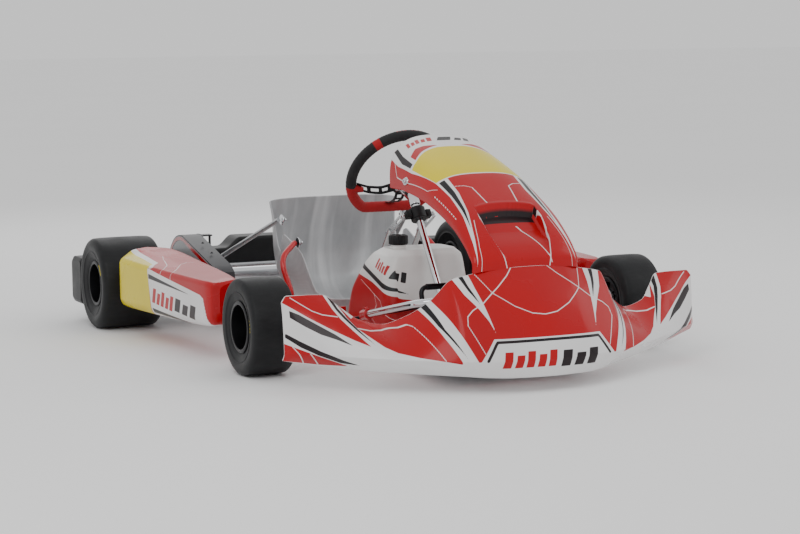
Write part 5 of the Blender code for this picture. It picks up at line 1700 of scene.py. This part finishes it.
def make_rear_bumper():
    """A moulded bar with rounded corners, raised middle, a long groove and four screws."""
    stations = [(-0.690, 1.206, 0.066, 0.190), (-0.682, 1.200, 0.056, 0.200), (-0.470, 1.200, 0.055, 0.202),
                (-0.440, 1.226, 0.060, 0.204), (-0.200, 1.226, 0.062, 0.206), (-0.150, 1.222, 0.062, 0.240)]
    half = np.array(stations)
    full = np.concatenate([half, half[::-1] * (-1, 1, 1, 1)])
    xs = np.concatenate([-0.690 + 0.02 * np.linspace(0, 1, 12) ** 2, np.linspace(-0.666, 0.666, 220),
                         0.690 - 0.02 * np.linspace(1, 0, 12) ** 2])
    front, low, top = (flowing(full[:, 0], full[:, k], xs) for k in (1, 2, 3))
    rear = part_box("rear_bumper")[1].y - SHIFT.y
    rings = []
    for x, f, l, t in zip(xs, front, low, top):
        back = rear - 0.02 * (abs(x) / 0.69) ** 4 - 0.008 * np.clip((abs(x) - 0.672) / 0.018, 0, 1) ** 2
        groove = 0.0035 * (0.03 < 0.665 - abs(x)) * (abs(math.sin(x * 9)) > 0.04)
        corners = [(f, l), (f, t), (back, t), (back, t * 0.62 + l * 0.38 + 0.006),
                   (back - groove, t * 0.62 + l * 0.38),
                   (back - groove, t * 0.38 + l * 0.62), (back, t * 0.38 + l * 0.62 - 0.006), (back, l)]
        radii = (0.010, 0.012, 0.018, 0.003, 0.003, 0.003, 0.003, 0.016)
        rings.append([Vector((x, p.x, p.y)) for p in rounded_ring([Vector(c) for c in corners], radii, 5,
                                                                  (4,))])
    ends = [cap_rings(rings[0])[::-1], cap_rings(rings[-1])]
    piece("tail_bumper", [loft(ends[0] + rings + ends[1])], "black_plastic", "chassis", "rear_bumper",
          smooth=50)
    screws = []
    for x in (-0.23, -0.138, 0.23, 0.138):
        screws += bolt((x, TAIL_SCREW_Y, 0.130), (0, 1, 0), 0.0050)
    piece("tail_screws", screws, "steel", "chassis")


def make_bumper_tubes():
    corners = mirrored(-1, [SOCKET[1], (0.275, -0.378, 0.213), (0.205, -0.428, 0.224)])
    path = bend(corners + [Vector((-p.x, p.y, p.z)) for p in reversed(corners)], 0.05, 12)
    rings = [turned(ring_outline(0.004, 0.0101, 0.0118),
                    (x, -0.428, 0.224), (1, 0, 0), 40)
             for x in (-0.12, 0.12)]
    piece("bumper_high", [sweep(path, 0.0098, 32), *rings], "chrome", "chassis", "front_bumper_upper")
    front = HOOP_FRONT_Y - CROSS_R - 0.0004
    low = [(-0.140, front, HOOP_Z), (-0.140, -0.500, 0.066), (0.140, -0.500, 0.066), (0.140, front, HOOP_Z)]
    ends = [bead(p, (0, 1, 0), 0.0088, 0.0004) for p in (low[0], low[-1])]
    piece("bumper_low", [sweep(bend(low, 0.05, 10), 0.0088), *ends], "steel", "chassis",
          "front_bumper_lower")
    rise = REAR_TUBE_Y + CROSS_R + 0.0004
    hoop = [(-0.230, rise, 0.064), (-0.230, 1.196, 0.072), (-0.230, 1.2115, 0.150)]
    hoop = both_ways(hoop)
    ends = [bead(p, (0, 1, 0), 0.0088, 0.0004) for p in (hoop[0], hoop[-1])]
    piece("tail_hoop", [sweep(bend(hoop, 0.04, 10), 0.0088), *ends], "steel", "chassis", "rear_bumper_hoop")
    for label, side in SIDES:
        start = WAIST_X + RAIL_R + 0.0004
        bar = [(start, 0.310, RAIL_Z), (0.380, 0.310, 0.075), (SIDE_BAR_X, 0.330, SIDE_BAR_Z),
               (SIDE_BAR_X, 0.700, SIDE_BAR_Z)]
        bar += [(0.390, 0.720, 0.080), (0.2725, 0.720, 0.060)]
        path = bend(mirrored(side, bar), 0.06, 10)
        ends = [bead(path[0], (1, 0, 0), 0.0098, 0.0004), bead(path[-1], (1, 0, 0), 0.0098, 0.0004)]
        clamps = []
        for y in (0.42, 0.62):
            clamps.append(turned(ring_outline(0.008, 0.0100, 0.0128),
                                 (side * SIDE_BAR_X, y, SIDE_BAR_Z), (0, 1, 0), 40))
        piece(f"side_tube_{label}", [sweep(path, 0.0098), *ends, *clamps], "steel", "chassis",
              f"side_bar_{label}")
    tray = [(0.190, HOOP_FRONT_Y), (0.196, -0.1), (0.214, 0.10), (0.205, 0.28), (0.200, 0.455)]
    outline = both_ways(tray)
    meshes = [plate(outline, 0.0365, 0.0393, "Z", 0.0008)]
    for x, y in ((0.17, -0.36), (0.18, 0.0), (0.17, 0.42)):
        for side in (-1, 1):
            meshes += bolt((side * x, y, 0.0392), (0, 0, 1), 0.0030)
    piece("belly_tray", meshes, "alloy", "chassis", "floor_tray")


# ---------------------------------------------------------------- chain guard, pedals, brake pump
GUARD_OUT_X = -0.412
GUARD_IN_X = -0.352
GUARD_R = 0.134


def guard_outline(reduce=0.0):
    arc = [math.radians(-35 + 140 * k / 48) for k in range(49)]
    radius = GUARD_R - reduce
    outline = [(AXLE_Y + radius * math.cos(t), AXLE_Z + radius * math.sin(t)) for t in arc]
    tail = [Vector((0.760, 0.204)), Vector((0.733, 0.186)), Vector((0.728, 0.160))]
    return outline + [(p.x + reduce, p.y - reduce) for p in tail]


def make_chain_guard():
    """Roof band and pierced outer wall; the roof is dark and the wall lighter grey with a red stripe."""
    outer = guard_outline()
    inner = guard_outline(0.003)
    band = plate(outer + inner[::-1], GUARD_OUT_X, GUARD_IN_X, "X", 0.0009)
    lip = sweep([Vector((GUARD_IN_X + 0.0012, a, b)) for a, b in outer[:49]], 0.0012, 10)
    bracket_x = -RAIL_X - 0.0135
    meshes = [band, lip]
    meshes.append(block((GUARD_IN_X - 0.004, AXLE_Y - 0.016, 0.2660), (bracket_x, AXLE_Y + 0.016, 0.2705),
                        edge=0.0008))
    meshes.append(rod((bracket_x - 0.004, AXLE_Y, 0.170), (bracket_x - 0.004, AXLE_Y, 0.2690), 0.0038))
    for y, z in ((0.85, 0.2335), (0.93, 0.2565)):
        meshes += bolt((-0.382, y, z), (0, -0.3, 1), 0.0024)
    piece("guard_roof", meshes, "guard_top", "chassis", "chain_guard")
    floor_z = 0.112
    window = [(AXLE_Y + 0.05 * math.cos(t), AXLE_Z + 0.05 * math.sin(t)) for t in
              [math.pi * k / 24 for k in range(25)]]
    wall = guard_outline(0.0034)[8:] + [(0.731, floor_z), (1.0, floor_z), window[-1]] + window[-2::-1]
    wall += [(1.1, floor_z)]
    side_wall = plate(wall, GUARD_OUT_X - 0.0004, GUARD_OUT_X + 0.0026, "X", 0.0006)
    piece("guard_side", [side_wall], "grey_side", "chassis")
    stripe_outer = guard_outline(0.006)[14:50]
    stripe_inner = guard_outline(0.016)[14:50]
    stripe = plate(stripe_outer + stripe_inner[::-1], GUARD_OUT_X - 0.0012, GUARD_OUT_X - 0.0002, "X",
                   0.0003)
    piece("guard_stripe", [stripe], "clear_coat_red", "chassis")


BRAKE_X = 0.148
BRAKE_Z = 0.105


def make_pedals():
    for name, body, side in (("throttle_pedal", "throttle", -1), ("brake_pedal", "brake", 1)):
        pivot = Vector((side * PEDAL_X, PEDAL_Y, HOOP_Z))
        arm = mirrored(side, [(PEDAL_X, PEDAL_Y + 0.003, HOOP_Z + 0.008), (0.172, -0.300, 0.110),
                              (0.206, -0.282, 0.165)])
        arm += mirrored(side, [(0.206, -0.262, 0.238), (0.118, -0.262, 0.238), (0.112, -0.268, 0.205)])
        hub = turned(ring_outline(0.011, 0.0060, 0.0125, 0.0007, 0.0008), pivot, sides=48)
        sleeve = sweep([Vector((side * x, -0.262, 0.238)) for x in np.linspace(0.130, 0.190, 31)],
                       [0.0078 + 0.0006 * (k % 2) for k in range(31)], 28)
        piece(f"{body}_lever", [hub, sweep(bend(arm, 0.02, 8), 0.0064, 24), sleeve], "black_anodised", body,
              name)
    start = Vector((BRAKE_X, -0.165, BRAKE_Z))
    back = Vector((0, 1, 0))
    barrel = [(0.0, 0.0046), (0.0, 0.0125), (0.0015, 0.014), (0.010, 0.014), (0.011, 0.012), (0.070, 0.012),
              (0.072, 0.014), (0.083, 0.014), (0.085, 0.012), (0.085, 0.0), (0.050, 0.0), (0.050, 0.0046)]
    meshes = [spun(barrel, start, back)]
    meshes.append(block((BRAKE_X - 0.010, -0.145, 0.0397), (BRAKE_X + 0.010, -0.100, BRAKE_Z)))
    pot = Vector((BRAKE_X, -0.115, BRAKE_Z))
    meshes.append(spun([(0.008, 0), (0.008, 0.0125), (0.030, 0.0135), (0.0305, 0.015), (0.0405, 0.015),
                        (0.042, 0.0135),
                        (0.042, 0)], pot))
    piece("brake_pump", meshes, "black_anodised", "chassis", "master_cylinder")
    front = Vector((BRAKE_X, -0.296, BRAKE_Z))
    meshes = [rod(front, start + back * 0.045, 0.0034),
              rod(front - Vector((0.0055, 0, 0)), front + Vector((0.0055, 0, 0)), 0.008)]
    meshes.append(hexagon(front + back * 0.016, back, 0.0058, 0.006))
    piece("brake_push_rod", meshes, "steel", "brake_link", "brake_rod")


def make_panel_stand():
    """Black bracket and plated screws that hold the front panel and nose to the upper tube."""
    stand = [(0.0, -0.395, 0.2385), (0.0, -0.400, 0.285), (0.0, -0.372, 0.345)]
    meshes = [sweep(bend([Vector((s * 0.052, y, z)) for _, y, z in stand], 0.02, 8), 0.0055)
              for s in (-1, 1)]
    piece("panel_stand", meshes, "black_anodised", "chassis")
    screws = []
    for side in (-1, 1):
        screws += bolt((side * 0.1497, -0.055, 0.497), (side, -0.2, 0.25), 0.0052)
    screws += bolt((-0.004, -0.452, 0.3245), (0, -0.87, 0.5), 0.0036)
    piece("panel_screws", screws, "chrome", "chassis")


make_frame()
make_knuckles()
make_column()
make_steering_wheel()
make_mounts()
make_wheels()
make_front_hubs()
make_axle()
make_caliper()
make_seat()
make_seat_supports()
make_nose()
make_panel()
make_side_pods()
make_rear_bumper()
make_bumper_tubes()
make_tank()
make_chain_guard()
make_pedals()
make_panel_stand()


# ---------------------------------------------------------------- studio
DOME_GLOW = 0.86


def make_studio():
    """A pale seamless floor, a bright dome and three soft panels."""
    floor_mesh = bpy.data.meshes.new("studio_floor")
    size = 60
    floor_mesh.from_pydata([(-size, -size, 0), (size, -size, 0), (size, size, 0), (-size, size, 0)], [],
                           [(0, 1, 2, 3)])
    floor = in_scene("studio_floor", floor_mesh)
    n = Nodes("studio_floor")
    cloud = n.noise(0.6, 4, 0.5)
    n.link(n.mix(cloud, (0.93, 0.93, 0.93), (0.97, 0.97, 0.97)), n.shader.inputs["Base Color"])
    n.shader.inputs["Roughness"].default_value = 0.9
    floor_mesh.materials.append(n.material)
    world = bpy.data.worlds.new("studio")
    world.use_nodes = True
    background = world.node_tree.nodes["Background"]
    background.inputs["Color"].default_value = (1, 1, 1, 1)
    background.inputs["Strength"].default_value = DOME_GLOW
    bpy.context.scene.world = world
    lamps = (("key", (-2.6, -3.2, 3.4), 2.6, 46), ("fill", (3.4, -1.8, 2.4), 2.4, 20),
             ("back", (0.4, 3.6, 2.8), 3.0, 26))
    for name, place, size, power in lamps:
        lamp = bpy.data.lights.new(name, "AREA")
        lamp.shape = "DISK"
        lamp.size = size
        lamp.energy = power
        thing = in_scene(name, lamp)
        thing.location = place
        aim = Vector((0, 0, 0.25)) - Vector(place)
        thing.rotation_euler = aim.to_track_quat("-Z", "Y").to_euler()


CAMERA_PLACE = Vector((-2.505, -5.552, 0.907))
CAMERA_YAW = math.radians(24.46)
CAMERA_PITCH = math.radians(6.46)
CAMERA_ROLL = math.radians(-0.59)
CAMERA_LENS = 95.6


def make_camera():
    forward = Vector((math.sin(CAMERA_YAW) * math.cos(CAMERA_PITCH),
                      math.cos(CAMERA_YAW) * math.cos(CAMERA_PITCH),
                      -math.sin(CAMERA_PITCH)))
    right = Vector((math.cos(CAMERA_YAW), -math.sin(CAMERA_YAW), 0))
    up = right.cross(forward)
    rolled = math.cos(CAMERA_ROLL) * right + math.sin(CAMERA_ROLL) * up
    upright = -math.sin(CAMERA_ROLL) * right + math.cos(CAMERA_ROLL) * up
    matrix = Matrix((rolled, upright, -forward)).transposed().to_4x4()
    matrix.translation = CAMERA_PLACE
    camera = in_scene("photo_camera", bpy.data.cameras.new("photo_camera"))
    camera.data.lens = CAMERA_LENS
    camera.data.sensor_width = 36
    camera.matrix_world = matrix
    bpy.context.scene.camera = camera


make_studio()
make_camera()
